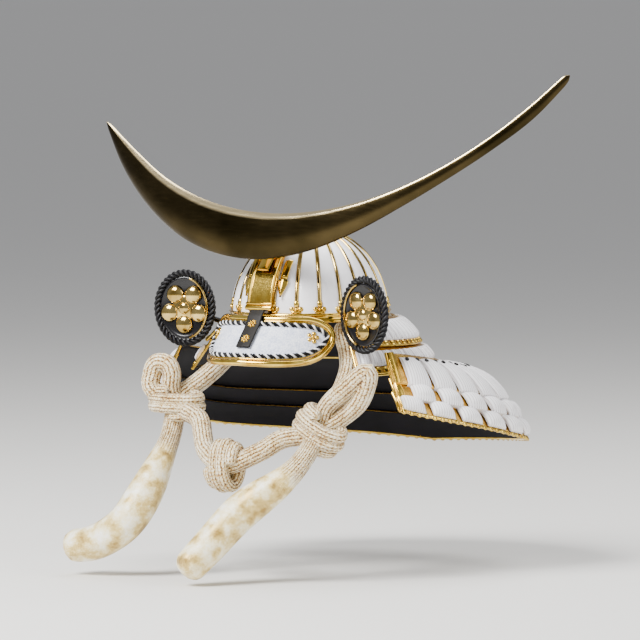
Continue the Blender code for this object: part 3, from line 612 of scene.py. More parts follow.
# %% The white bowl
def gore(across, up):
    """One gore, centred on the front."""
    tilt = (1.0 - up) * RIGHT_ANGLE
    swell = (1.0 - abs(2 * across - 1) ** 3.0) ** 0.7
    return (across - 0.5) * math.tau / GORES, tilt, (1.15 * swell - 0.25) * PUFF * math.sin(tilt)


bowl = piece("bowl_shell", round_bowl("bowl_shell", rows_of(12, 36, gore), white_lacquer),
             white_lacquer, "bowl_white", "bowl")
give_wall(bowl, 1.2 * MM)
print("bowl:", len(bowl.data.polygons), "faces")

# %% [markdown]
# ## The gold ribs
# A rib lies in each groove: a half-round gold bar with a thin flange on each side, which widens
# a little towards the base. The same tree repeats it, so rib and groove always agree.

# %% The gold ribs
RIB_HALF = 1.15 * MM
RIB_TALL = 1.2 * MM
RIB_LOW = 0.1 * MM
RIB_TURN = math.pi / GORES
RIB_OUTLINE = [(-1.35, 0.0), (-1.35, 0.28), (-0.95, 0.34), (-0.75, 0.78), (-0.35, 1.0),
               (0.0, 1.05), (0.35, 1.0), (0.75, 0.78), (0.95, 0.34), (1.35, 0.28), (1.35, 0.0)]


def rib(across, up):
    """One rib's skin, half a gore away from the front."""
    foot = tilt_at(2.0 * MM)
    tilt = foot + (math.radians(7.5) - foot) * up
    share, tall = RIB_OUTLINE[round(across * len(RIB_OUTLINE))]
    half = RIB_HALF * (0.62 + 0.38 * math.sin(tilt))
    turn = share * half / (HALF_WIDTH * max(math.sin(tilt), 0.12))
    return RIB_TURN + turn, tilt, RIB_LOW + tall * RIB_TALL


rib_rows = rows_of(len(RIB_OUTLINE), 30, rib, closed=True)
# The ribs take the gold that is painted darker as a dark reflection.
piece("bowl_rib_bars", round_bowl("ribs", rib_rows, deep_gold, True, 2), deep_gold, "gold_plate",
      "bowl_ribs")
print("ribs:", GORES)

# %% [markdown]
# ## Foot ornaments
# Each rib ends in a small pierced plate, a trefoil of three drops round a boss. A drop is a low
# dome whose edge is sunk, so that the dark gaps between the drops read as piercing.

# %% Foot ornaments
# Turn from the rib; then in mm: height, half width, half height, rise of the dome, lift
FOOT_DOMES = [(0.0, 7.6, 1.5, 2.3, 0.9, 1.0), (-0.052, 4.6, 1.5, 1.5, 0.8, 1.0),
              (0.052, 4.6, 1.5, 1.5, 0.8, 1.0), (0.0, 4.4, 1.0, 1.0, 1.3, 1.2),
              (0.0, 2.9, 3.0, 0.8, 0.6, 1.1)]
DOME_SIDES = 14


def joined(name, meshes):
    """Several meshes as one."""
    form = bmesh.new()
    for mesh in meshes:
        form.from_mesh(mesh)
        bpy.data.meshes.remove(mesh)
    return form_mesh(form, name)


def foot_dome(turn, height, half, tall_half, rise, lift):
    """Rings of spots round the dome's own middle, from its edge to its tip."""
    tilt = tilt_at(height * MM)
    return [[(RIB_TURN + turn + share * half * MM * math.cos(a) / (HALF_WIDTH * math.sin(tilt)),
              tilt + share * tall_half * MM * math.sin(a) / HEIGHT,
              (lift + rise * math.sqrt(1.0 - share ** 2)) * MM)
             for a in (k * math.tau / DOME_SIDES for k in range(DOME_SIDES if share else 1))]
            for share in (1.0, 0.75, 0.5, 0.25, 0.0)]


feet = joined("rib_feet", [round_bowl("foot", foot_dome(*dome), polished_gold, True, 1)
                           for dome in FOOT_DOMES])
gold_piece("rib_foot_ornaments", feet)
print("foot ornaments:", GORES)

# %% [markdown]
# ## Waist band
# A turned band runs round the base of the bowl. Its section is drawn once, with a bead above, a
# hollow in the middle and a lip below, and carried round the oval.

# %% Waist band
BAND_OUTLINE = [(0.0, 2.2), (0.7, 2.3), (1.3, 1.9), (1.5, 1.3), (1.1, 0.8), (0.8, 0.2),
                (0.8, -0.9), (1.1, -1.5), (1.7, -1.9), (1.9, -2.5), (1.6, -3.1), (0.9, -3.3),
                (0.0, -3.2)]


def grid_mesh(name, columns, rows, place, size=(1.0, 1.0), closed=False):
    """A sheet on place(across, up), with a UV map that runs to the given size."""
    form = row_form(rows_of(columns, rows, place, closed), closed,
                    chart=lambda c, r: (c / columns * size[0], r / rows * size[1]))
    return form_mesh(form, name, clean=closed)


def stop_on(outline, share):
    """The stop of an outline at a share of the way along it."""
    return outline[round(share * (len(outline) - 1))]


def band(across, up):
    reach, height = stop_on(BAND_OUTLINE, up)
    turn = -across * math.tau
    return outward(turn) * (bowl_edge(turn) + (1.0 + reach) * MM) + upward(height * MM)


waist = gold_piece("waist_band_turned", grid_mesh("band", 176, len(BAND_OUTLINE) - 1, band,
                                                  closed=True), "waist_band")
give_wall(waist, 0.5 * MM)
print("waist band:", len(waist.data.polygons), "faces")

# %% [markdown]
# ## The crescent
# The crescent is a thin swept plate, longer on the wearer's left. Its outline is a short table of
# sections, each with a lower and an upper point, read with smooth slopes.

# %% The crescent's outline
CREST_REACH = 190.0 * MM
CREST_TOP = 146.0 * MM
CREST_FRONT = 60.0 * MM
CREST_SWEEP = 1.2
# Lower x and z, upper x and z, as shares of the reach and the top
CREST_SECTIONS = [
    (-0.620, 0.766, -0.614, 0.774), (-0.531, 0.574, -0.479, 0.652),
    (-0.413, 0.419, -0.351, 0.549), (-0.272, 0.306, -0.211, 0.476),
    (-0.117, 0.245, -0.063, 0.433), (0.044, 0.235, 0.087, 0.420),
    (0.205, 0.274, 0.237, 0.436), (0.360, 0.353, 0.384, 0.479),
    (0.509, 0.456, 0.525, 0.547), (0.650, 0.567, 0.658, 0.636),
    (0.782, 0.683, 0.782, 0.743), (0.903, 0.809, 0.894, 0.864),
    (1.010, 0.966, 0.998, 0.994),
]
MIDDLE_SECTION = CREST_SECTIONS[5]


def smooth_value(table, column, share):
    """Reads one column of a table whose first column is the share, with smooth slopes."""
    last = len(table) - 1
    index = 0
    while index < last - 1 and share > table[index + 1][0]:
        index += 1
    before, low, high, after = (table[min(max(index + k, 0), last)] for k in (-1, 0, 1, 2))
    span = high[0] - low[0]
    t = (share - low[0]) / span

    def slope(first, second):
        width = second[0] - first[0]
        return (second[column] - first[column]) / width * span if width else 0.0

    return ((2 * t ** 3 - 3 * t ** 2 + 1) * low[column] + (t ** 3 - 2 * t ** 2 + t)
            * slope(before, high) + (3 * t ** 2 - 2 * t ** 3) * high[column]
            + (t ** 3 - t ** 2) * slope(low, after))


def on_crescent(x, z, forward):
    """A point on the crescent's swept face, moved forward of it."""
    normal = Vector((2 * CREST_SWEEP * x, -1.0, 0.0)).normalized()
    return Vector((x, CREST_SWEEP * x * x - CREST_FRONT, z)) + normal * forward


crest_table = [(k / (len(CREST_SECTIONS) - 1), *row) for k, row in enumerate(CREST_SECTIONS)]
print("crescent:", len(crest_table), "sections")

# %% [markdown]
# Across each section the face is a shallow arch, and a chamfer, painted bright as a highlight,
# turns back along the upper edge. It is cut from one plate, so the arch, the chamfer and the back
# are one skin, which thins towards both tips.

# %% The crescent
CREST_ARCH = [(0.0, -0.10), (0.012, 0.14), (0.05, 0.40), (0.14, 0.70), (0.28, 0.90), (0.5, 1.0),
              (0.72, 0.92), (0.86, 0.78), (0.925, 0.66)]
CREST_CHAMFER = [(0.985, 0.10), (1.0, -0.30)]
CREST_BACK = [(0.96, -0.42), (0.75, -0.44), (0.5, -0.44), (0.25, -0.44), (0.04, -0.38)]
CREST_BULGE = 3.2 * MM
STATIONS = 180
TIP = 0.018
WIDEST = (MIDDLE_SECTION[3] - MIDDLE_SECTION[1]) * CREST_TOP
profile = CREST_ARCH + CREST_CHAMFER + CREST_BACK


def crescent_point(around, share):
    low_x, low_z, high_x, high_z = (smooth_value(crest_table, k, share) for k in (1, 2, 3, 4))
    low = Vector((low_x * CREST_REACH, low_z * CREST_TOP))
    high = Vector((high_x * CREST_REACH, high_z * CREST_TOP))
    blunt = min(min(share, 1.0 - share) / TIP, 1.0)
    round_off = 0.08 + 0.92 * math.sqrt(1.0 - (1.0 - blunt) ** 2)
    middle, half = (low + high) / 2, (high - low) * round_off / 2
    full = min(1.0, math.sqrt(half.length * 2 / WIDEST))
    part, bulge = profile[round(around * len(profile))]
    spot = middle + half * (2 * part - 1)
    return on_crescent(spot.x, spot.y, bulge * CREST_BULGE * full)


crest_rows = rows_of(len(profile), STATIONS, crescent_point, closed=True)
crest_mesh = form_mesh(row_form(crest_rows, True, 2), "crescent")
edge = len(CREST_ARCH)
# The chamfer's points get 1, which marks the painted highlight.
store(crest_mesh, "polish", [float(edge - 1 <= k <= edge + 1) for _ in crest_rows
                             for k in range(len(profile))])
crescent = piece("crescent_crest_polished", crest_mesh, crescent_bronze, "crescent_bronze",
                 "crescent_crest")
crescent.data.set_sharp_from_angle(angle=math.radians(28.0))
print("crescent:", len(crest_mesh.polygons), "faces")

# %% [markdown]
# ## Tubes along a path
# Rails, rims, rings and rolled edges are rods or tubes that were bent to a line. A smooth curve
# is laid through a few stops first, and a ring of points is carried along it without a twist.


# %% Tubes along a path
def smooth_path(stops, gap):
    """Points about a gap apart on a smooth curve through all the stops."""
    points = [stops[0]]
    for index in range(len(stops) - 1):
        low, high = stops[index], stops[index + 1]
        before = stops[index - 1] if index else low * 2 - high
        after = stops[index + 2] if index + 2 < len(stops) else high * 2 - low
        steps = max(1, round((high - low).length / gap))
        for step in range(1, steps + 1):
            t = step / steps
            points.append(0.5 * (2 * low + (high - before) * t
                                 + (2 * before - 5 * low + 4 * high - after) * t ** 2
                                 + (3 * low - before - 3 * high + after) * t ** 3))
    return points


def tube_mesh(name, path, radius, around=12, closed=False, flat=1.0,
              up=Vector((0.31, 0.24, 0.92))):
    """A tube along a path, flattened across the way that is up."""
    count = len(path)
    lengths = [0.0]
    for low, high in zip(path, path[1:] + (path[:1] if closed else [])):
        lengths.append(lengths[-1] + (high - low).length)
    rings = []
    for k, point in enumerate(path):
        low = path[k - 1] if closed or k else path[0]
        high = path[(k + 1) % count] if closed or k < count - 1 else path[-1]
        ahead = (high - low).normalized()
        side = up.cross(ahead) if k == 0 else side
        side = (side - ahead * side.dot(ahead)).normalized()
        over = ahead.cross(side) * flat
        rings.append([point + (side * math.cos(a) + over * math.sin(a)) * radius
                      for a in (j * math.tau / around for j in range(around))])
    form = row_form(rings, True, 0 if closed else 2, looped=closed,
                    chart=lambda c, r: (c / around * math.tau * radius, lengths[r]))
    return form_mesh(form, name, clean=True)


print("a bend:", len(smooth_path([Vector((0, 0, 0)), Vector((1, 0, 0))], 0.25)), "points")

# %% [markdown]
# ## Crest holder
# The crescent slots onto a flat gold prong that rises from a plate on the bowl's front. The
# plate is polished like a mirror, with raised side rails and a moulded ledge at its foot.

# %% Crest holder
LIFT = 2.45 * MM
HOLDER_WIDTH = 16.5 * MM
HOLDER_LOW = 4.0 * MM
HOLDER_HIGH = 35.0 * MM
LEDGE_HEIGHT = 5.4 * MM
LEDGE_STEP = 2.4 * MM


def up_front(height, x, lift):
    """A point on the front of the bowl at a height, straight across from the middle line."""
    point = on_bowl(0.0, tilt_at(height), lift)
    return Vector((x, point.y, point.z))


def holder_face(across, up):
    side = 2 * across - 1
    rail = max(0.0, (abs(side) - 0.80) / 0.20)
    lift = LIFT + 2.0 * MM + 1.0 * MM * min(1.0, 3 * rail)
    return up_front(HOLDER_LOW + (HOLDER_HIGH - HOLDER_LOW) * up, side * HOLDER_WIDTH / 2, lift)


holder = gold_piece("crest_holder_plate", grid_mesh("holder", 30, 24, holder_face),
                    "crest_holder")
give_wall(holder, 2.6 * MM)
ledge_front = up_front(LEDGE_HEIGHT, 0.0, LIFT + 3.2 * MM).y
ledge_path = [Vector((x * MM, ledge_front + x ** 2 * 0.012 * MM, LEDGE_HEIGHT))
              for x in (-8.8, -7.0, -4.0, 0.0, 4.0, 7.0, 8.8)]
upper_path = [point + upward(LEDGE_STEP) for point in ledge_path]
gold_piece("crest_holder_ledge", joined("ledge", [
    tube_mesh("ledge", ledge_path, 1.35 * MM, 14, flat=1.2),
    tube_mesh("ledge", upper_path, 0.8 * MM)]))
print("holder:", len(holder.data.polygons), "faces")

# %% [markdown]
# The prong is a flat bar that lies on the plate and bends straight up behind the crescent, which
# lifts off it.

# %% Prong
PRONG_LIFT = LIFT + 4.7 * MM
PRONG_Y = -57.3 * MM
prong_stops = ([up_front(height * MM, 0.0, PRONG_LIFT) for height in (24.0, 33.0)]
               + [Vector((0.0, PRONG_Y, height * MM)) for height in (42.0, 52.0)])
prong_line = smooth_path(prong_stops, 1.5 * MM)
prong = gold_piece("crest_prong_flat", tube_mesh("prong", prong_line, 4.0 * MM, 16, flat=0.24,
                                                 up=Vector((0.0, 1.0, 0.3))), "crest_prong")
print("prong:", len(prong.data.polygons), "faces")

# %% [markdown]
# A pointed tongue lies on the bowl at each side of the plate. It is stamped from thin sheet with
# a ridge down its middle and a notch across it, so it is drawn as a sheet with a wall.

# %% Tongues
TONGUE_WIDTH = 6.2 * MM
TONGUE_X = 11.9 * MM
TONGUE_WIDTHS = [(0.0, 0.04), (0.22, 0.66), (0.42, 1.0), (0.50, 0.72), (1.0, 0.70)]
for word, side in SIDES:

    def tongue(across, up):
        tilt = tilt_at((11.0 + 20.0 * up) * MM)
        half = TONGUE_WIDTH * smooth_value(TONGUE_WIDTHS, 1, up) / 2
        x = side * TONGUE_X + (2 * across - 1) * half
        ridge = 0.9 * MM * (1.0 - abs(2 * across - 1)) ** 0.8
        notch = -0.5 * MM if 0.50 < up < 0.56 else 0.0
        out = (bowl_edge(math.asin(x / HALF_LENGTH)) + LIFT) * math.sin(tilt)
        return on_bowl(math.asin(x / out), tilt, LIFT + 0.5 * MM + ridge + notch)

    made = gold_piece("front_tongue_ridged_" + word, grid_mesh("tongue", 12, 32, tongue),
                      "front_tongue_" + word)
    give_wall(made, 0.8 * MM)
    print(made.name, len(made.data.polygons), "faces")

# %% [markdown]
# ## Node tree: petals round a boss
# Rosettes and blossoms are one petal repeated round a middle. The petal is a carrier mesh that
# points along X. The tree moves it out to a ring radius and turns copies of it.

# %% Node tree: petals round a boss
petal_tree, add, inlet = new_tree("petals_round_a_boss", {"Petals": "Int", "Ring Radius": "Float"})
shift = add("ShaderNodeCombineXYZ", [inlet["Ring Radius"]])
moved = add("GeometryNodeTransform", {"Geometry": inlet["Geometry"], "Translation": shift})
close_tree(add, turned_copies(add, moved, inlet["Petals"]), (inlet["Material"], True))
PETAL_SIDES = 20
PETAL_ROWS = 5


def drop_mesh(length, width, tall, pinch=0.0):
    """A domed petal that points along X, narrower at its root by the pinch."""
    rings = []
    for row in range(PETAL_ROWS):
        share = math.cos(row / PETAL_ROWS * RIGHT_ANGLE)
        rise = tall * math.sin(row / PETAL_ROWS * RIGHT_ANGLE)
        rings.append([])
        for angle in (k * math.tau / PETAL_SIDES for k in range(PETAL_SIDES)):
            x = share * length / 2 * math.cos(angle)
            y = share * width / 2 * math.sin(angle) * (1.0 - pinch * (0.5 - x / length))
            rings[-1].append((x, y, rise))
    return form_mesh(row_form(rings + [[(0.0, 0.0, tall)]], True, 1), "drop")


def rosette(name, petals, radius, tall, boss=0.34):
    """A gold flower of petals round a domed boss, flat on its own XY plane."""
    petal = drop_mesh(radius * 0.78, math.tau * radius * 0.66 / petals * 1.12, tall, 0.5)
    ring = grow(name, petal_tree, petal, petals=petals, ring_radius=radius * 0.62,
                material=polished_gold)
    middle = drop_mesh(radius * 2 * boss, radius * 2 * boss, tall * 1.5)
    return joined(name, [ring, middle])


print("tree:", petal_tree.name)

# %% [markdown]
# ## Crown rosette
# The hole at the crown has a fitting of stacked flowers, the lowest the widest, with a rolled
# tube in the middle.

# %% Crown rosette
# Petals; then in mm: radius, height over the crown, thickness
TIERS = [(16, 7.6, 0.0, 1.1), (16, 6.0, 1.0, 1.1), (12, 4.4, 2.0, 1.0)]
TUBE_OUTLINE = [(3.0, 2.4), (3.1, 3.2), (3.3, 3.8), (3.2, 4.3), (2.7, 4.6), (2.1, 4.4),
                (1.8, 3.9), (1.75, 3.0), (1.2, 2.6), (0.02, 2.55)]
tiers = []
for petals, radius, height, tall in TIERS:
    tiers.append(rosette("tier", petals, radius * MM, tall * MM, boss=0.5))
    tiers[-1].transform(Matrix.Translation(upward(HEIGHT + height * MM)))


def crown_tube(across, up):
    radius, height = stop_on(TUBE_OUTLINE, up)
    return outward(across * math.tau) * radius * MM + upward(HEIGHT + height * MM)


tiers.append(grid_mesh("crown_tube", 32, len(TUBE_OUTLINE) - 1, crown_tube, closed=True))
gold_piece("crown_rosette_tiers", joined("crown", tiers), "crown_rosette")
print("crown rosette:", len(TIERS), "flowers")

# %% [markdown]
# ## The visor
# The visor slopes forward and down round the brow. A table gives its reach and drop as shares
# from the middle to its end, and its ends are rounded off as a quarter of an oval.

# %% The visor's shape
VISOR_HALF = math.radians(48.0)
VISOR_END = math.radians(2.2)
VISOR_ROOT = -1.2 * MM
RIM = 1.7 * MM
BAND_OUT = 3.0 * MM
FIT = 0.3 * MM
# Share of the way to its end; then in mm: reach, drop
VISOR_SECTIONS = [(0.00, 21.0, 24.5), (0.35, 18.5, 25.0), (0.60, 13.0, 24.6), (0.84, 8.2, 22.4),
                  (1.00, 5.4, 20.0)]
ROUND_FROM = 0.64
HALF_WAY = 55.0 * MM


def on_visor(turn, share, lift=0.0):
    """A point over the visor's middle face: share runs from its root to its rim."""
    part = min(abs(turn) / VISOR_HALF, 1.0)
    reach, drop = (smooth_value(VISOR_SECTIONS, k, part) * MM for k in (1, 2))
    length = math.hypot(reach, drop)
    root = bowl_edge(turn) + BAND_OUT + FIT + RIM
    level = outward(turn) * (root + reach * share + lift * drop / length)
    return level + upward(VISOR_ROOT - drop * share + lift * reach / length)


def visor_span(along, inset):
    """Turn and half share of the visor at a place from -1 to 1, with its ends rounded."""
    part, span = abs(along), 0.5
    if part >= ROUND_FROM:
        tight = (part - ROUND_FROM) / (1.0 - ROUND_FROM) * RIGHT_ANGLE
        part = ROUND_FROM + (1.0 - ROUND_FROM) * math.sin(tight)
        span = 0.5 * math.cos(tight)
    turn = math.copysign(part, along) * (1.0 - inset / HALF_WAY) * VISOR_HALF
    slope = (on_visor(turn, 1.0) - on_visor(turn, 0.0)).length
    return turn, span * (1.0 - 2 * inset / slope)


def visor_loop(inset, lift, along=90):
    """Points of a line round the visor, inset from its edge."""
    points = []
    for side in (1.0, -1.0):
        for step in range(along):
            turn, span = visor_span(side * (2 * step / along - 1), inset)
            points.append(on_visor(turn, 0.5 + side * span, lift))
    return points


print("visor spans", round(math.degrees(VISOR_HALF * 2)), "degrees")

# %% [markdown]
# White leather is glued on the visor's middle face. A rolled gold rim closes its edge all round,
# with a thin fillet inside it.


# %% Visor leather and rim
def visor_face(across, up):
    turn, span = visor_span((2 * across - 1) * 0.992, RIM * 0.6)
    return on_visor(turn, 0.5 + span * (1 - 2 * up), 0.8 * MM)


visor = piece("visor_leather_face", grid_mesh("visor", 90, 16, visor_face), white_leather,
              "visor_leather", "visor")
give_wall(visor, 1.6 * MM)
rim = tube_mesh("visor_rim", visor_loop(0.0, 0.2 * MM), 1.95 * MM, 18, closed=True)
fillet = tube_mesh("visor_fillet", visor_loop(RIM + 0.7 * MM, 1.2 * MM), 0.5 * MM, 8,
                   closed=True)
gold_piece("visor_rim_rolled", joined("visor_rim", [rim, fillet]), "visor_rim")
print("visor:", len(visor.data.polygons), "faces")

# %% [markdown]
# ## Node tree: cord along a path
# Cords follow a path. A braid or a twisted cord is a few round strands carried along it, turned
# as they go, and the count of strands and the length of one turn make one tree serve them all.
# A closed cord takes a whole number of turns, so its strands meet where it joins.

# %% Node tree: cord along a path
STRAND_SIDES = 12
cord_tree, add, inlet = new_tree("strands_along_a_path", {
    "Strands": "Int", "Strand Radius": "Float", "Offset": "Float", "Turns": "Float",
    "Gap": "Float", "Second Material": "Material"})
line = add("GeometryNodeMeshToCurve", [inlet["Geometry"]])
even = add("GeometryNodeResampleCurve", {"Curve": line, "Length": inlet["Gap"]}, mode="LENGTH")
along = add("GeometryNodeSplineParameter").outputs
marked = add("GeometryNodeStoreNamedAttribute", {
    "Geometry": even, "Name": "along", "Value": along["Length"]})
tilt = series(add, MATH, along["Factor"], ("MULTIPLY", inlet["Turns"]), ("MULTIPLY", math.tau))
tilted = add("GeometryNodeSetCurveTilt", {"Curve": marked, "Tilt": tilt})
ring = add("GeometryNodeCurveArc", {
    "Resolution": STRAND_SIDES + 1, "Radius": inlet["Strand Radius"], "Start Angle": 0.0,
    "Sweep Angle": math.tau})
ring = add("GeometryNodeStoreNamedAttribute", {
    "Geometry": ring, "Name": "around", "Value": add("GeometryNodeSplineParameter")})
number = add("GeometryNodeInputIndex")
step = series(add, MATH, math.tau, ("DIVIDE", inlet["Strands"]))
turn = series(add, MATH, number, ("MULTIPLY", step))
spot = add("ShaderNodeCombineXYZ", [series(add, MATH, turn, ("COSINE",)),
                                    series(add, MATH, turn, ("SINE",))])
spot = add("ShaderNodeVectorMath", {0: spot, "Scale": inlet["Offset"]}, operation="SCALE")
spots = add("GeometryNodePoints", {"Count": inlet["Strands"], "Position": spot})
strands = add("GeometryNodeInstanceOnPoints", {"Points": spots, "Instance": ring})
strands = add("GeometryNodeStoreNamedAttribute", {
    "Geometry": strands, "Name": "strand", "Value": number}, domain="INSTANCE")
section = add("GeometryNodeRealizeInstances", [strands])
thick, around, along, strand = (add("GeometryNodeInputNamedAttribute", [name])
                                for name in ("thick", "around", "along", "strand"))
tube = add("GeometryNodeCurveToMesh", {"Curve": tilted, "Profile Curve": section, "Scale": thick})
girth = series(add, MATH, around, ("MULTIPLY", inlet["Strand Radius"]), ("MULTIPLY", math.tau))
chart = add("GeometryNodeStoreNamedAttribute", {
    "Geometry": tube, "Name": "surface", "Value": add("ShaderNodeCombineXYZ", [girth, along])},
    data_type="FLOAT2", domain="CORNER")
shut = add("GeometryNodeMergeByDistance", {"Geometry": chart, "Distance": 0.002 * MM})
close_tree(add, shut, (inlet["Material"], True),
           (inlet["Second Material"], series(add, MATH, strand, ("GREATER_THAN", 0.5))))


print("tree:", cord_tree.name)

# %% [markdown]
# The tree needs its path as a line of points. Each point says how thick the cord is there, which
# lets a tail swell and a free end close in a round tip.


# %% A cord's path
def path_length(path, closed=False):
    stops = path + path[:1] if closed else path
    return sum((high - low).length for low, high in zip(stops, stops[1:]))


def cord_mesh(path, radius, gap, materials, closed=False, strands=1, offset=0.0, lay=None,
              swell=None):
    """A cord of round strands along a path. lay is the length of one turn of the strands, and
    swell gives its thickness as a share of radius along the way. A free end is rounded off."""
    whole = path_length(path, closed)
    form = bmesh.new()
    corners = [form.verts.new(point) for point in path]
    for low, high in zip(corners, corners[1:] + (corners[:1] if closed else [])):
        form.edges.new((low, high))
    thickness, gone = [], 0.0
    for k, point in enumerate(path):
        gone += (point - path[k - 1]).length if k else 0.0
        share = swell(gone / whole) if swell else 1.0
        near = min(gone, whole - gone) / (radius * 0.8)
        if not closed and near < 1.0:
            share *= math.sqrt(max(0.0, 1.0 - (1.0 - near) ** 2))
        thickness.append(max(share, 0.0))
    carrier = form_mesh(form, "path")
    store(carrier, "thick", thickness)
    first, second = materials if isinstance(materials, list) else (materials, materials)
    return grow("cord", cord_tree, carrier, strands=strands, strand_radius=radius - offset,
                offset=offset, turns=round(whole / lay) if lay else 0, gap=gap, material=first,
                second_material=second)


print("a metre of path:", path_length([Vector((0, 0, 0)), Vector((1, 0, 0))]))

# %% [markdown]
# ## The visor's border
# A black and a white cord twisted together edge the leather just inside the rim.

# %% Twisted border
PIPING = 1.35 * MM
TWIST = [white_silk, black_silk]
border_path = visor_loop(2 * RIM + PIPING - 0.3 * MM, 1.1 * MM + PIPING * 0.3, 120)
border = cord_mesh(border_path, PIPING * 1.1, 0.5 * MM, TWIST, closed=True, strands=3,
                   offset=0.78 * MM, lay=5.2 * MM)
piece("visor_border_twisted", border, TWIST, "black_braid", "visor_piping")
print("visor border:", len(border.polygons), "faces")

# %% [markdown]
# ## Strap
# A black leather strap hangs down the middle of the visor. It is a band cut from thick leather,
# higher where it comes over the rim and thinned at its edges.

# %% Strap
STRAP_WIDTH = 9.6 * MM
STRAP_TOP = -0.14
STRAP_FOOT = 0.70
STRAP_BEND = 0.22


def strap(across, up):
    x = (across - 0.5) * STRAP_WIDTH
    share = STRAP_FOOT + (STRAP_TOP - STRAP_FOOT) * up
    hem = max(0.0, 1.0 - min(across, 1.0 - across) / 0.10)
    over = min(max((STRAP_BEND - share) / STRAP_BEND, 0.0), 1.0)
    return on_visor(math.atan2(x, -on_visor(0.0, share).y), share,
                    (3.1 + 1.3 * over * over * (3 - 2 * over) - 0.35 * hem ** 2) * MM)


made = piece("visor_strap_leather", grid_mesh("strap", 20, 36, strap), black_leather,
             "black_braid", "visor_strap")
give_wall(made, 1.5 * MM)
print("strap:", len(made.data.polygons), "faces")

# %% [markdown]
# ## Rosettes and blossoms
# Two gold rosettes hold the strap, and a gold blossom covers a rivet at each side of the visor.
# Each is cast as one flower, so each is drawn flat and then stood on the visor's slope.

# %% Rosettes and blossoms
# Name, solid, turn and share on the visor; then in mm: lift, radius; and the petals
FLOWERS = [
    ("strap_rosette_top", "strap_rosette_upper", 0.0, 0.18, 3.2, 2.9, 8),
    ("strap_rosette_foot", "strap_rosette_lower", 0.0, 0.52, 3.0, 2.9, 8),
    ("blossom_rivet_right", "visor_blossom_right", -VISOR_HALF * 0.74, 0.45, 1.0, 3.8, 5),
    ("blossom_rivet_left", "visor_blossom_left", VISOR_HALF * 0.74, 0.45, 1.0, 3.8, 5),
]
for name, solid, turn, share, lift, radius, petals in FLOWERS:
    low = on_visor(turn, share, lift * MM)
    normal = (on_visor(turn, share, (lift + 10.0) * MM) - low).normalized()
    flower = rosette(name, petals, radius * MM, 0.9 * MM)
    flower.transform(Matrix.Translation(low)
                     @ normal.to_track_quat("Z", "Y").to_matrix().to_4x4())
    gold_piece(name, flower, solid)
print("flowers:", len(FLOWERS))

# %% [markdown]
# ## The turned-back side plates
# A black lacquered oval plate stands at each side of the brow, edged with a thick braid of black
# silk. Five gold domes round a small middle one make its plum-blossom crest, and a gold wire
# follows its inner side. The whole crest is a darker gold, painted dark as a dark reflection.

# %% The side plate's shape
PLATE_X = 64.0 * MM
PLATE_Y = -38.3 * MM
PLATE_Z = 2.5 * MM
HALF_ACROSS = 15.2 * MM
HALF_UP = 18.5 * MM
PLATE_YAW = math.radians(13.0)
BRAID = 2.1 * MM
DOME_WIDTH = 10.9 * MM
DOME_RING = 9.8 * MM
BOSS_WIDTH = 7.6 * MM
ROUNDEL_WIDTH = 15.0 * MM
WIRE_SPAN = math.radians(150.0)
WIRE_STEPS = 40
# Share of the way out, rise in mm: the face, the rolled edge and the back
DISH = [(0.0, 1.0), (0.5, 0.9), (0.84, 0.7), (0.90, 1.1), (0.96, 1.5), (0.995, 1.2), (1.0, 0.4),
        (1.0, -0.9), (0.97, -1.5), (0.5, -1.5), (0.0, -1.5)]


def plate_place(side):
    """Where a side plate stands: its own Z is its face's normal and its own Y is up."""
    normal = Vector((-side * math.sin(PLATE_YAW), -math.cos(PLATE_YAW), 0.0))
    up = upward(1.0)
    turned = Matrix((up.cross(normal), up, normal)).transposed().to_4x4()
    return Matrix.Translation((side * PLATE_X, PLATE_Y, PLATE_Z)) @ turned


def oval(angle, out, rise):
    return Vector(((HALF_ACROSS + out) * math.cos(angle), (HALF_UP + out) * math.sin(angle),
                   rise))


def dish(across, up):
    share, rise = stop_on(DISH, up)
    point = oval(across * math.tau, 0.0, 0.0) * share
    return point + upward(rise * MM)


print("side plate:", round(HALF_ACROSS * 2000), "x", round(HALF_UP * 2000), "mm")

# %% [markdown]
# Both sides are made by one loop: the plate, its braid, and then the crest with its wire, all
# drawn flat and put in place together.

# %% Side plates
for word, side in SIDES:
    place = plate_place(side)
    plate = grid_mesh("dish", 64, len(DISH) - 1, dish, closed=True)
    plate.transform(place)
    piece("side_plate_dish_" + word, plate, black_lacquer, "black_lacquer",
          "turnback_plate_" + word)

    path = [oval(k * math.tau / 120, BRAID + 0.2 * MM, 0.0) for k in range(120)]
    braid = cord_mesh(path, BRAID * 1.12, 0.8 * MM, black_silk, closed=True, strands=3,
                      offset=1.08 * MM, lay=9.0 * MM)
    braid.transform(place)
    piece("side_plate_braid_" + word, braid, black_silk, "black_braid", "turnback_braid_" + word)

    # The crest takes the gold that is painted darker as a dark reflection.
    domes = grow("plum", petal_tree, drop_mesh(DOME_WIDTH, DOME_WIDTH, 2.6 * MM), petals=5,
                 ring_radius=DOME_RING, material=deep_gold)
    domes.transform(Matrix.Rotation(-RIGHT_ANGLE, 4, "Z"))
    crest = joined("plum", [domes, drop_mesh(BOSS_WIDTH, BOSS_WIDTH, 2.2 * MM),
                            drop_mesh(ROUNDEL_WIDTH, ROUNDEL_WIDTH, 0.7 * MM)])
    crest.transform(place @ Matrix.Translation(upward(1.3 * MM)))
    wire_from = math.pi * (0.5 + side * 0.5) - WIRE_SPAN / 2
    wire = [place @ oval(wire_from + k * WIRE_SPAN / WIRE_STEPS, -0.3 * MM, 2.2 * MM)
            for k in range(WIRE_STEPS + 1)]
    crest = joined("plum", [crest, tube_mesh("wire", wire, 0.7 * MM, 10)])
    piece("side_plate_plum_" + word, crest, deep_gold, "gold_plate", "turnback_crest_" + word)
    print("side plate", word, len(braid.polygons), "faces in its braid")

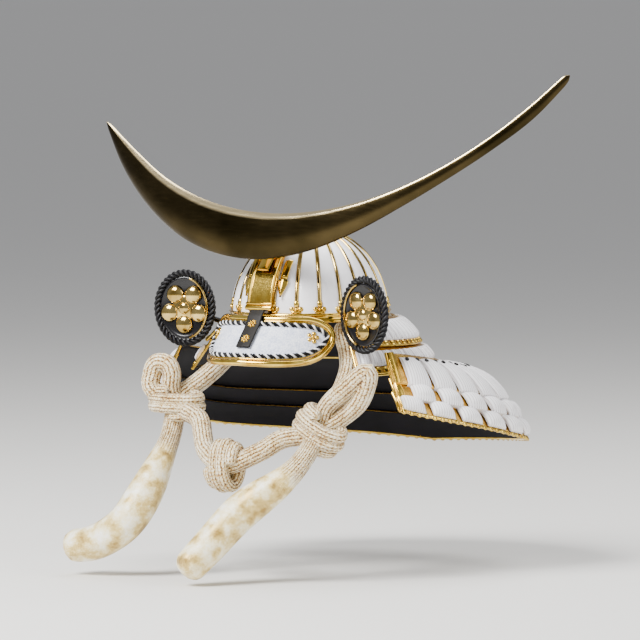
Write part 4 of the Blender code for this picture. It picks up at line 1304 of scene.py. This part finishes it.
# %% [markdown]
# ## The neck guard's shape
# Five gold plates spread down and back over each other from the bowl's edge. A table gives each
# plate's top, bend and bottom from its front end to the back, as shares of the guard's reach and
# drop, and each next plate hangs from the one above.

# %% The neck guard's shape
COLUMNS = 24
PLATE_WALL = 1.2 * MM
PLATE_OVERLAP = 2.8 * MM
PLATE_GAP = 0.8 * MM
NECK_REACH = 83.5 * MM
NECK_DROP = 85.0 * MM
FIRST_TURN = (VISOR_HALF + VISOR_END + (RIM + PLATE_GAP) / bowl_edge(VISOR_HALF)
              + math.radians(4.5))
# First column, the plate above, the side of it to hang on, and rows of sections: the share
# from the front end to the back, then reach and drop of the top, the bend and the bottom
LAMES = {
    "neck_plate_1": (0, "", 0, [
        (0.00, 0.003, 0.028, 0.075, 0.120, 0.150, 0.200),
        (0.54, 0.003, 0.028, 0.100, 0.115, 0.195, 0.212),
        (1.00, 0.003, 0.028, 0.100, 0.115, 0.190, 0.212)]),
    "neck_plate_2": (0, "neck_plate_1", -1, [
        (0.00, 0.000, 0.000, 0.170, 0.285, 0.250, 0.400),
        (0.54, 0.000, 0.000, 0.225, 0.280, 0.310, 0.380),
        (1.00, 0.000, 0.000, 0.215, 0.280, 0.300, 0.380)]),
    "neck_plate_3": (1, "neck_plate_2", 1, [
        (0.00, 0.100, -0.120, 0.400, 0.330, 0.450, 0.435),
        (0.25, 0.060, -0.050, 0.540, 0.405, 0.640, 0.530),
        (0.50, 0.000, 0.000, 0.640, 0.480, 0.790, 0.625),
        (1.00, 0.000, 0.000, 0.680, 0.500, 0.820, 0.680)]),
    "neck_plate_4": (1, "neck_plate_3", -1, [
        (0.00, 0.000, 0.000, 0.455, 0.470, 0.485, 0.525),
        (0.25, 0.000, 0.000, 0.665, 0.575, 0.705, 0.635),
        (0.50, 0.000, 0.000, 0.815, 0.680, 0.870, 0.745),
        (1.00, 0.000, 0.000, 0.850, 0.745, 0.900, 0.830)]),
    "neck_plate_5": (1, "neck_plate_4", -1, [
        (0.00, 0.000, 0.000, 0.500, 0.565, 0.535, 0.625),
        (0.25, 0.000, 0.000, 0.725, 0.690, 0.765, 0.755),
        (0.50, 0.000, 0.000, 0.895, 0.805, 0.945, 0.885),
        (1.00, 0.000, 0.000, 0.930, 0.900, 0.975, 0.990)]),
}
print("neck guard:", len(LAMES), "plates")

# %% [markdown]
# A plate is one smooth sheet, bent along a line that is softened as hammered metal is. Any place
# on it is found from its column round the guard and its share of the way down.

# %% A place on a neck plate
SOFT_BEND = 0.16


def plate_turn(column):
    """Turn of a column, counted from the front end on the wearer's left."""
    return FIRST_TURN + column * (math.tau - 2 * FIRST_TURN) / COLUMNS


def plate_section(name, column):
    """Reach and drop of a plate's top, bend and bottom."""
    first, above, side, table = LAMES[name]
    part = 1.0 - abs(plate_turn(column) - math.pi) / (math.pi - plate_turn(first))
    part = min(max(part, 0.0), 1.0)
    top, bend, bottom = (Vector((smooth_value(table, k, part) * NECK_REACH,
                                 smooth_value(table, k + 1, part) * NECK_DROP))
                         for k in (1, 3, 5))
    if above:
        _, over_bend, over_bottom = plate_section(above, column)
        down = (over_bottom - over_bend).normalized()
        out = Vector((down.y, -down.x))
        top += over_bottom - down * PLATE_OVERLAP + out * side * (PLATE_WALL + PLATE_GAP)
    return top, bend, bottom


def on_plate(name, column, share, lift=0.0):
    """A point over a neck plate's inner face, share from its top to its bottom."""
    turn = plate_turn(column)
    top, bend, bottom = plate_section(name, column)

    def spot(part):
        if abs(part - 0.5) < SOFT_BEND:
            low, high = top.lerp(bend, 1 - 2 * SOFT_BEND), bend.lerp(bottom, 2 * SOFT_BEND)
            t = (part - 0.5 + SOFT_BEND) / (2 * SOFT_BEND)
            return low.lerp(bend, t).lerp(bend.lerp(high, t), t)
        return top.lerp(bend, part * 2) if part < 0.5 else bend.lerp(bottom, part * 2 - 1)

    down = (spot(min(share + 0.02, 1.0)) - spot(max(share - 0.02, 0.0))).normalized()
    here = spot(share) + Vector((down.y, -down.x)) * lift
    return outward(turn) * (bowl_edge(turn) + BAND_OUT + FIT + here.x) - upward(here.y)


def plate_columns(name):
    """A plate's first column and how many columns it spans."""
    first = LAMES[name][0]
    return first, COLUMNS - 2 * first


print("first plate spans", round(math.degrees(plate_turn(COLUMNS) - plate_turn(0))), "degrees")

# %% [markdown]
# ## Neck plates
# Each plate is gilt sheet, black on its inner side, with its lower edge and its front ends
# rolled. The three lower plates have a flat gilt strip over the ends, where the lacing stops.

# %% Neck plates
STRIP_IN = 0.22
HEM = 0.95 * MM
THIN_HEM = 0.5 * MM
for number, name in enumerate(LAMES, 1):
    first, wide = plate_columns(name)

    def over(across, share, lift=0.0):
        return on_plate(name, first + across * wide, share, lift)

    plate = grid_mesh("plate", wide * 5, 12, lambda across, up: over(across, 1.0 - up))
    plate = piece("neck_plate_rolled_" + str(number), plate, [satin_gold, black_lining],
                  "gold_plate", name)
    give_wall(plate, PLATE_WALL, 1.0).material_offset = 1
    hem_line = [over(k / (wide * 6), 0.985, PLATE_WALL / 2) for k in range(wide * 6 + 1)]
    rolls = [tube_mesh("hem", hem_line, THIN_HEM if number in (3, 4) else HEM, 8)]
    for end in (0.0, 1.0):
        end_line = [over(end, k / 12, PLATE_WALL / 2) for k in range(13)]
        rolls.append(tube_mesh("end", end_line, 0.9 * MM, 8))
    for column in (first + STRIP_IN, first + wide - STRIP_IN) if number > 2 else ():
        strip = [on_plate(name, column, k / 14, PLATE_WALL + 0.2 * MM) for k in range(15)]
        face = on_plate(name, column, 0.5, 9 * MM) - on_plate(name, column, 0.5)
        rolls.append(tube_mesh("strip", strip, 2.5 * MM, 14, flat=0.42, up=face.normalized()))
    gold_piece("neck_plate_hem_" + str(number), joined("hem", rolls))
    print(name, len(plate.data.polygons), "faces")

# %% [markdown]
# ## Node tree: lacing pads on a plate
# White silk lacing covers the plates in rows of pads. The carrier is a smooth copy of a plate's
# face that knows its column and its place down the plate. The tree measures how far each point
# is from the middle of its own pad, cuts the gaps between pads and puffs the pads up.

# %% Node tree: lacing pads on a plate
pad_tree, add, inlet = new_tree("pads_on_a_plate", {
    "Pitch": "Float", "Shift": "Float", "Half": "Float", "Height": "Float", "Hem": "Float",
    "Shoulder Across": "Float", "Shoulder Down": "Float"})


def crown(share, power):
    """One in a pad's middle, nothing at its edge, with a round shoulder between."""
    raised = series(add, MATH, share, ("POWER", power))
    return series(add, MATH, 1.0, ("SUBTRACT", raised), ("MAXIMUM", 0.0), ("POWER", 0.5))


spot = add("GeometryNodeInputNamedAttribute", ["spot"], data_type="FLOAT_VECTOR")
spot = add("ShaderNodeSeparateXYZ", [spot]).outputs
count = series(add, MATH, spot["X"], ("SUBTRACT", inlet["Shift"]), ("DIVIDE", inlet["Pitch"]))
off = series(add, MATH, count, ("SUBTRACT", series(add, MATH, count, ("ROUND",))),
             ("MULTIPLY", inlet["Pitch"]), ("ABSOLUTE",), ("DIVIDE", inlet["Half"]))
level = series(add, MATH, spot["Y"], ("MULTIPLY_ADD", 2.0, -1.0), ("ABSOLUTE",))
lift = series(add, MATH, crown(off, inlet["Shoulder Across"]),
              ("MULTIPLY", crown(level, inlet["Shoulder Down"])),
              ("MULTIPLY_ADD", inlet["Height"], inlet["Hem"]))
shift = add("ShaderNodeVectorMath", {0: add("GeometryNodeInputNormal"), "Scale": lift},
            operation="SCALE")
puffed = add("GeometryNodeSetPosition", {"Geometry": inlet["Geometry"], "Offset": shift})
cut = add("GeometryNodeDeleteGeometry", {
    "Geometry": puffed, "Selection": series(add, MATH, off, ("GREATER_THAN", 1.01))})
close_tree(add, cut, (inlet["Material"], True))
print("tree:", pad_tree.name)

# %% [markdown]
# ## Lacing
# The two upper plates are laced so closely that their rows look ribbed, while the three lower
# rows are broad stuffed pads with gold between them. A table gives each plate its row.

# %% Lacing
FINE = 18
LACING_ROWS = 14
# Plate, start column, shares of its upper and lower edge, pitch, shift and half width in
# columns, puff in mm, shoulders across and down
PADS = [
    ("neck_plate_1", 2.0, 0.12, 0.86, 0.5, 0.0, 0.2223, 2.2, 2.2, 3.0),
    ("neck_plate_2", 0.1112, 0.28, 0.78, 0.5, 0.0, 0.2223, 2.2, 2.2, 3.0),
    ("neck_plate_3", 0.5, 0.16, 1.03, 1.0, 0.0, 0.4445, 3.8, 2.4, 2.6),
    ("neck_plate_4", 0.5, 0.22, 1.03, 1.0, 0.0, 0.3889, 4.4, 2.0, 2.2),
    ("neck_plate_5", 0.1112, 0.20, 0.95, 1.0, 0.5, 0.3889, 4.4, 2.0, 2.2),
]
for number, (name, start, high, low, pitch, shift, half, puff, soft, soft_down) in enumerate(
        PADS, 1):
    first, wide = plate_columns(name)
    begin, wide = first + start, wide - 2 * start
    columns = round(wide * FINE)

    def lacing_face(across, up):
        return on_plate(name, begin + across * wide, low + (high - low) * up, 1.6 * MM)

    width = path_length([lacing_face(k / 40, 0.5) for k in range(41)])
    depth = (lacing_face(0.5, 0.0) - lacing_face(0.5, 1.0)).length
    carrier = grid_mesh("lacing", columns, LACING_ROWS, lacing_face, size=(width, depth))
    store(carrier, "spot", [part for r in range(LACING_ROWS + 1) for c in range(columns + 1)
                            for part in (begin + c / FINE, r / LACING_ROWS, 0.0)],
          "FLOAT_VECTOR")
    pads = grow("lacing", pad_tree, carrier, pitch=pitch, shift=shift, half=half,
                height=puff * MM, hem=0.5 * MM, shoulder_across=soft, shoulder_down=soft_down,
                material=white_lacing)
    give_wall(piece("neck_lacing_pads_" + str(number), pads, white_lacing, "lacing_white",
                    "neck_lacing_" + str(number)), 1.1 * MM)
    print("lacing", number, len(pads.polygons), "faces")

# %% [markdown]
# ## Shade studs
# Along the top of the third plate, a row of flat black studs stands for the shade in the gaps
# between the braids. From a step away they read as a row of dark dots. The tree sets a flat stud
# on every point of a line, turned to the direction that the point stores.

# %% Shade studs
stud_tree, add, inlet = new_tree("studs_on_points", {"Radius": "Float", "Height": "Float"})
away_from = add("GeometryNodeInputNamedAttribute", ["outwards"], data_type="FLOAT_VECTOR")
facing = add("FunctionNodeAlignRotationToVector", {"Vector": away_from}, axis="Z")
ball = add("GeometryNodeMeshUVSphere", {"Segments": 14, "Rings": 8, "Radius": 1.0})
flat = add("ShaderNodeCombineXYZ", [inlet["Radius"], inlet["Radius"], inlet["Height"]])
studs = add("GeometryNodeInstanceOnPoints", {"Points": inlet["Geometry"], "Instance": ball,
                                             "Rotation": facing, "Scale": flat})
close_tree(add, studs, (inlet["Material"], True))


def studs_on(plate, columns, share, lift, radius, height, material):
    """Flat studs over a plate at some columns, each facing out of the plate."""
    lows = [on_plate(plate, column, share, lift) for column in columns]
    ways = [(on_plate(plate, column, share, 14 * MM) - low).normalized()
            for column, low in zip(columns, lows)]
    carrier = bpy.data.meshes.new("studs")
    carrier.from_pydata(lows, [], [])
    store(carrier, "outwards", [part for way in ways for part in way], "FLOAT_VECTOR")
    return grow("studs", stud_tree, carrier, radius=radius, height=height, material=material)


# Painted shade: black studs stand for the dark gaps between braids at the top of the lacing.
eyelet_columns = [1.75 + 0.5 * k for k in range(41)]
eyelets = studs_on("neck_plate_3", eyelet_columns, 0.31, 4.8 * MM, 1.5 * MM, 0.7 * MM,
                   black_leather)
piece("neck_guard_eyelets", eyelets, black_leather, "black_lacquer")
print("eyelets:", len(eyelet_columns))

# %% [markdown]
# ## Scalloped edging
# The lower edges of the first two plates and of the last one are cut in small gold scallops, one
# about every six millimetres. The same tree sets them as a row of flat gold studs.

# %% Scalloped edging
SCALLOP_PITCH = 5.8 * MM
for name, share, lift, radius in (
        ("neck_plate_1", 0.93, 1.3, 2.1), ("neck_plate_2", 0.86, 1.3, 2.1),
        ("neck_plate_5", 0.99, 1.0, 2.0)):
    first, wide = plate_columns(name)
    edge = path_length([on_plate(name, first + wide * k / 60, share) for k in range(61)])
    count = round(edge / SCALLOP_PITCH)
    edging = studs_on(name, [first + wide * (k + 0.5) / count for k in range(count)], share,
                      lift * MM, radius * MM, 0.9 * MM, polished_gold)
    gold_piece("scalloped_edge_" + name, edging)
    print(name, count, "scallops")

# %% [markdown]
# ## Brackets and rings
# A short lacquered bracket carries each side plate on the first neck plate, and a gold ring
# inside the bowl's edge holds each end of the chin cord.

# %% Brackets and rings
RING_RADIUS = 4.8 * MM
RING_WIRE = 1.1 * MM
RING_X, RING_Y, RING_Z = 36.0 * MM, -18.0 * MM, -3.0 * MM
for word, side in SIDES:
    feet = [on_plate("neck_plate_1", 12.0 - side * 10.5, share, 2.4 * MM)
            for share in (0.12, 0.62)]
    foot = (feet[0] + feet[1]) / 2
    top = plate_place(side) @ Vector((-side * HALF_ACROSS * 0.35, -3.0 * MM, -3.2 * MM))
    path = smooth_path([top, top.lerp(foot, 0.5), foot], 1.0 * MM)
    piece("side_plate_bracket_" + word, tube_mesh("bracket", path, 3.0 * MM, 16, flat=0.55),
          black_lacquer, "black_lacquer", "turnback_bracket_" + word)

    turn = math.atan2(side * RING_X, -RING_Y)
    centre = outward(turn) * (bowl_edge(turn) - 2.0 * MM - RING_WIRE - 1.5 * MM)
    centre.z = RING_Z + RING_RADIUS + RING_WIRE + FIT
    across = upward(1.0).cross(outward(turn))
    path = [centre + (across * math.cos(a) + upward(math.sin(a))) * RING_RADIUS
            for a in (k * math.tau / 40 for k in range(40))]
    gold_piece("cord_ring_wire_" + word, tube_mesh("ring", path, RING_WIRE, closed=True),
               "cord_ring_" + word)
    print("bracket and ring", word)

# %% [markdown]
# ## The chin cord's routes
# One long brocade cord runs from the ring on the wearer's right down to its knot, under the chin
# through the middle knot, and back up to the other ring. At each side knot a second cord makes a
# loop and ends in a plump tail.

# %% Knots and routes
CORD = 11.6 * MM
RIGHT, LEFT, CENTRE = ("cord_knot_" + word for word in ("right", "left", "centre"))
# Middle and half sizes in mm, tilt in degrees
KNOTS = {
    RIGHT: ((-53.5, -61.8, -52.0), (17.5, 11.0, 9.5), 4.0),
    LEFT: ((50.0, -64.0, -64.0), (16.0, 11.0, 11.0), 32.0),
    CENTRE: ((0.0, -88.0, -85.0), (10.0, 10.0, 14.5), 0.0),
}
# Stops in mm, or the knot that a cord meets
ROUTES = {
    "cord_right_strand": [(-36.0, -18.0, -3.0), (-36.5, -18.6, -12.0), (-40.5, -24.0, -23.0),
                          (-44.0, -34.0, -32.0), (-46.0, -45.0, -38.5), RIGHT],
    "cord_left_strand": [(36.0, -18.0, -3.0), (36.6, -18.6, -12.0), (42.0, -22.5, -21.5),
                         (46.5, -29.0, -32.0), (48.0, -41.0, -45.5), LEFT],
    "cord_right_loop": [RIGHT, (-56.2, -64.0, -43.0), (-55.6, -64.0, -35.0),
                        (-58.2, -64.9, -29.2), (-64.6, -66.3, -29.2), (-67.2, -67.2, -35.0),
                        (-66.8, -67.4, -44.0), RIGHT],
    "cord_left_loop": [LEFT, (54.0, -62.3, -50.2), (67.4, -62.3, -38.9), (79.3, -58.2, -29.6),
                       (74.2, -57.7, -45.5), (60.8, -57.7, -56.8), LEFT],
    "cord_right_middle": [RIGHT, (-32.0, -69.5, -60.5), (-25.0, -75.5, -69.5),
                          (-17.0, -82.5, -78.5), CENTRE],
    "cord_left_middle": [CENTRE, (21.0, -83.0, -76.5), (32.0, -76.0, -69.0), LEFT],
    "cord_right_tail": [RIGHT, (-53.0, -68.0, -70.0), (-50.3, -82.0, -84.0),
                        (-52.6, -97.0, -105.0), (-60.0, -106.0, -121.0),
                        (-77.0, -110.0, -132.0), (-98.0, -112.0, -136.0)],
    "cord_left_tail": [LEFT, (49.0, -80.0, -80.0), (41.0, -89.0, -92.0), (21.5, -102.0, -109.5),
                       (11.0, -117.0, -127.0), (1.0, -133.0, -145.0)],
}


def in_metres(spot):
    return Vector([part * MM for part in spot])


def stops_of(name):
    """A route's stops, with a knot's middle where the route names it."""
    return [in_metres(KNOTS[stop][0] if isinstance(stop, str) else stop)
            for stop in ROUTES[name]]


def end_stops(points, radius):
    """Adds close points near both ends of a path, so that a rounded end comes out round."""
    for _ in ("start", "end"):
        ahead = (points[1] - points[0]).normalized() * radius * 0.8
        while len(points) > 2 and (points[1] - points[0]).length < ahead.length * 0.6:
            points = points[:1] + points[2:]
        extra = [points[0] + ahead * step for step in (0.04, 0.15, 0.3, 0.5)]
        points = (points[:1] + extra + points[1:])[::-1]
    return points


def in_row_frame(path):
    return [(p.x, p.y, p.z - SEAT) for p in path]


print("routes:", len(ROUTES), "knots:", len(KNOTS))

# %% [markdown]
# The long cord is one piece from ring to ring, so its four routes are joined at the knots.

# %% Chin cord
main_stops = (stops_of("cord_right_strand") + stops_of("cord_right_middle")[1:]
              + stops_of("cord_left_middle")[1:] + stops_of("cord_left_strand")[::-1][1:])
main_path = end_stops(smooth_path(main_stops, 2.5 * MM), CORD / 2)
chin = piece("chin_cord_whole", cord_mesh(main_path, CORD / 2, 1.5 * MM, cord_brocade),
             cord_brocade, "cord_brocade", "cord_right_strand", "cord_right_middle",
             "cord_left_middle", "cord_left_strand")
print("chin cord", round(path_length(main_path) * 1000), "mm")

# %% [markdown]
# ## Knots
# The knots are wrapped: the second cord is wound three times round the cords that pass through,
# and pulled tight, which pinches the first and last turn. The turns are drawn as one coil.

# %% Knots
KNOT_TURNS = 3
TURN_STEPS = 36
for name, strand, along_x in ((RIGHT, 3.7 * MM, False), (LEFT, 4.0 * MM, False),
                              (CENTRE, 3.8 * MM, True)):
    half, tilt = in_metres(KNOTS[name][1]), KNOTS[name][2]
    if along_x:
        half, tilt = Vector((half.z, half.y, half.x)), 90.0
    half -= Vector((0.5, 0.5, 0.6)) * strand
    winding = []
    for k in range(KNOT_TURNS * TURN_STEPS + 1):
        angle = k / TURN_STEPS * math.tau - RIGHT_ANGLE
        rise = 2 * k / (KNOT_TURNS * TURN_STEPS) - 1
        bow = 1.0 - 0.22 * rise * rise
        winding.append(Vector((half.x * bow * math.cos(angle), half.y * bow * math.sin(angle),
                               half.z * rise)))
    coil = cord_mesh(winding, strand, 1.2 * MM, cord_brocade)
    coil.transform(Matrix.Translation(in_metres(KNOTS[name][0]))
                   @ Matrix.Rotation(math.radians(tilt), 4, "Y"))
    piece(name + "_coiled", coil, cord_brocade, "cord_brocade", name)
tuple(in_row_frame(main_path)[0])
path_length(main_path)

# %% [markdown]
# ## Loops and tails
# Each side knot sends a loop up and a tail down. A loop is the same braid, a little fuller in
# its middle. A tail is stuffed with cotton, so it swells to nearly twice the cord.

# %% Loops and tails
LOOP = 10.4 * MM
TAIL = 18.0 * MM
TAIL_SWELL = [(0.0, 12.0), (0.22, 13.0), (0.50, 21.5), (0.80, 21.0), (1.0, 19.0)]


def tail_swell(share):
    return smooth_value(TAIL_SWELL, 1, share) * MM / TAIL


def loop_swell(share):
    return 1.0 + 0.14 * math.sin(math.pi * share)


for word, _ in SIDES:
    for kind, thick, cloth, swell, end in (("loop", LOOP, cord_brocade, loop_swell, "knot"),
                                           ("tail", TAIL, tail_brocade, tail_swell, "bare")):
        name = "cord_" + word + "_" + kind
        path = end_stops(smooth_path(stops_of(name), 2.0 * MM), thick / 2)
        cord = cord_mesh(path, thick / 2, 1.2 * MM, cloth, swell=swell)
        made = piece(name + "_brocade", cord, cloth, "cord_brocade", name)
        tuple(in_row_frame(path)[0])
        path_length(path)
        print(name, round(path_length(path) * 1000), "mm")

# %% [markdown]
# ## Stage
# The helmet stands over a plain pale floor, with a large soft light from the upper left of the
# view and a weaker one from the right, as in a studio.

# %% Floor, world and lights
floor_material, _, floor_skin = finish("pale_floor")
feed(floor_skin, {"Base Color": linear("#e6e4df"), "Roughness": 0.7})
floor_form = bmesh.new()
bmesh.ops.create_grid(floor_form, x_segments=1, y_segments=1, size=120.0)
floor_mesh = form_mesh(floor_form, "floor")
floor_mesh.materials.append(floor_material)
floor = bpy.data.objects.new("floor", floor_mesh)
floor.location.z = solid_box[0].z - 1.0 * MM
scene.collection.objects.link(floor)

world = bpy.data.worlds.new("studio")
scene.world = world
world.use_nodes = True
feed(world.node_tree.nodes["Background"], {"Color": linear("#e6e8ee"), "Strength": 0.50})
# Size in metres, watts, turn from the view and rise in degrees, distance in metres
for name, size, watts, turn, rise, distance in (
        ("key", 0.7, 62.0, -48.0, 42.0, 1.5), ("fill", 1.2, 17.0, 62.0, 20.0, 1.7),
        ("top", 0.8, 14.0, 150.0, 65.0, 1.4)):
    light = bpy.data.lights.new(name, "AREA")
    light.size = size
    light.energy = watts
    way = towards(VIEW_TURN + math.radians(turn), math.radians(rise))
    stand(name, light, way, distance)
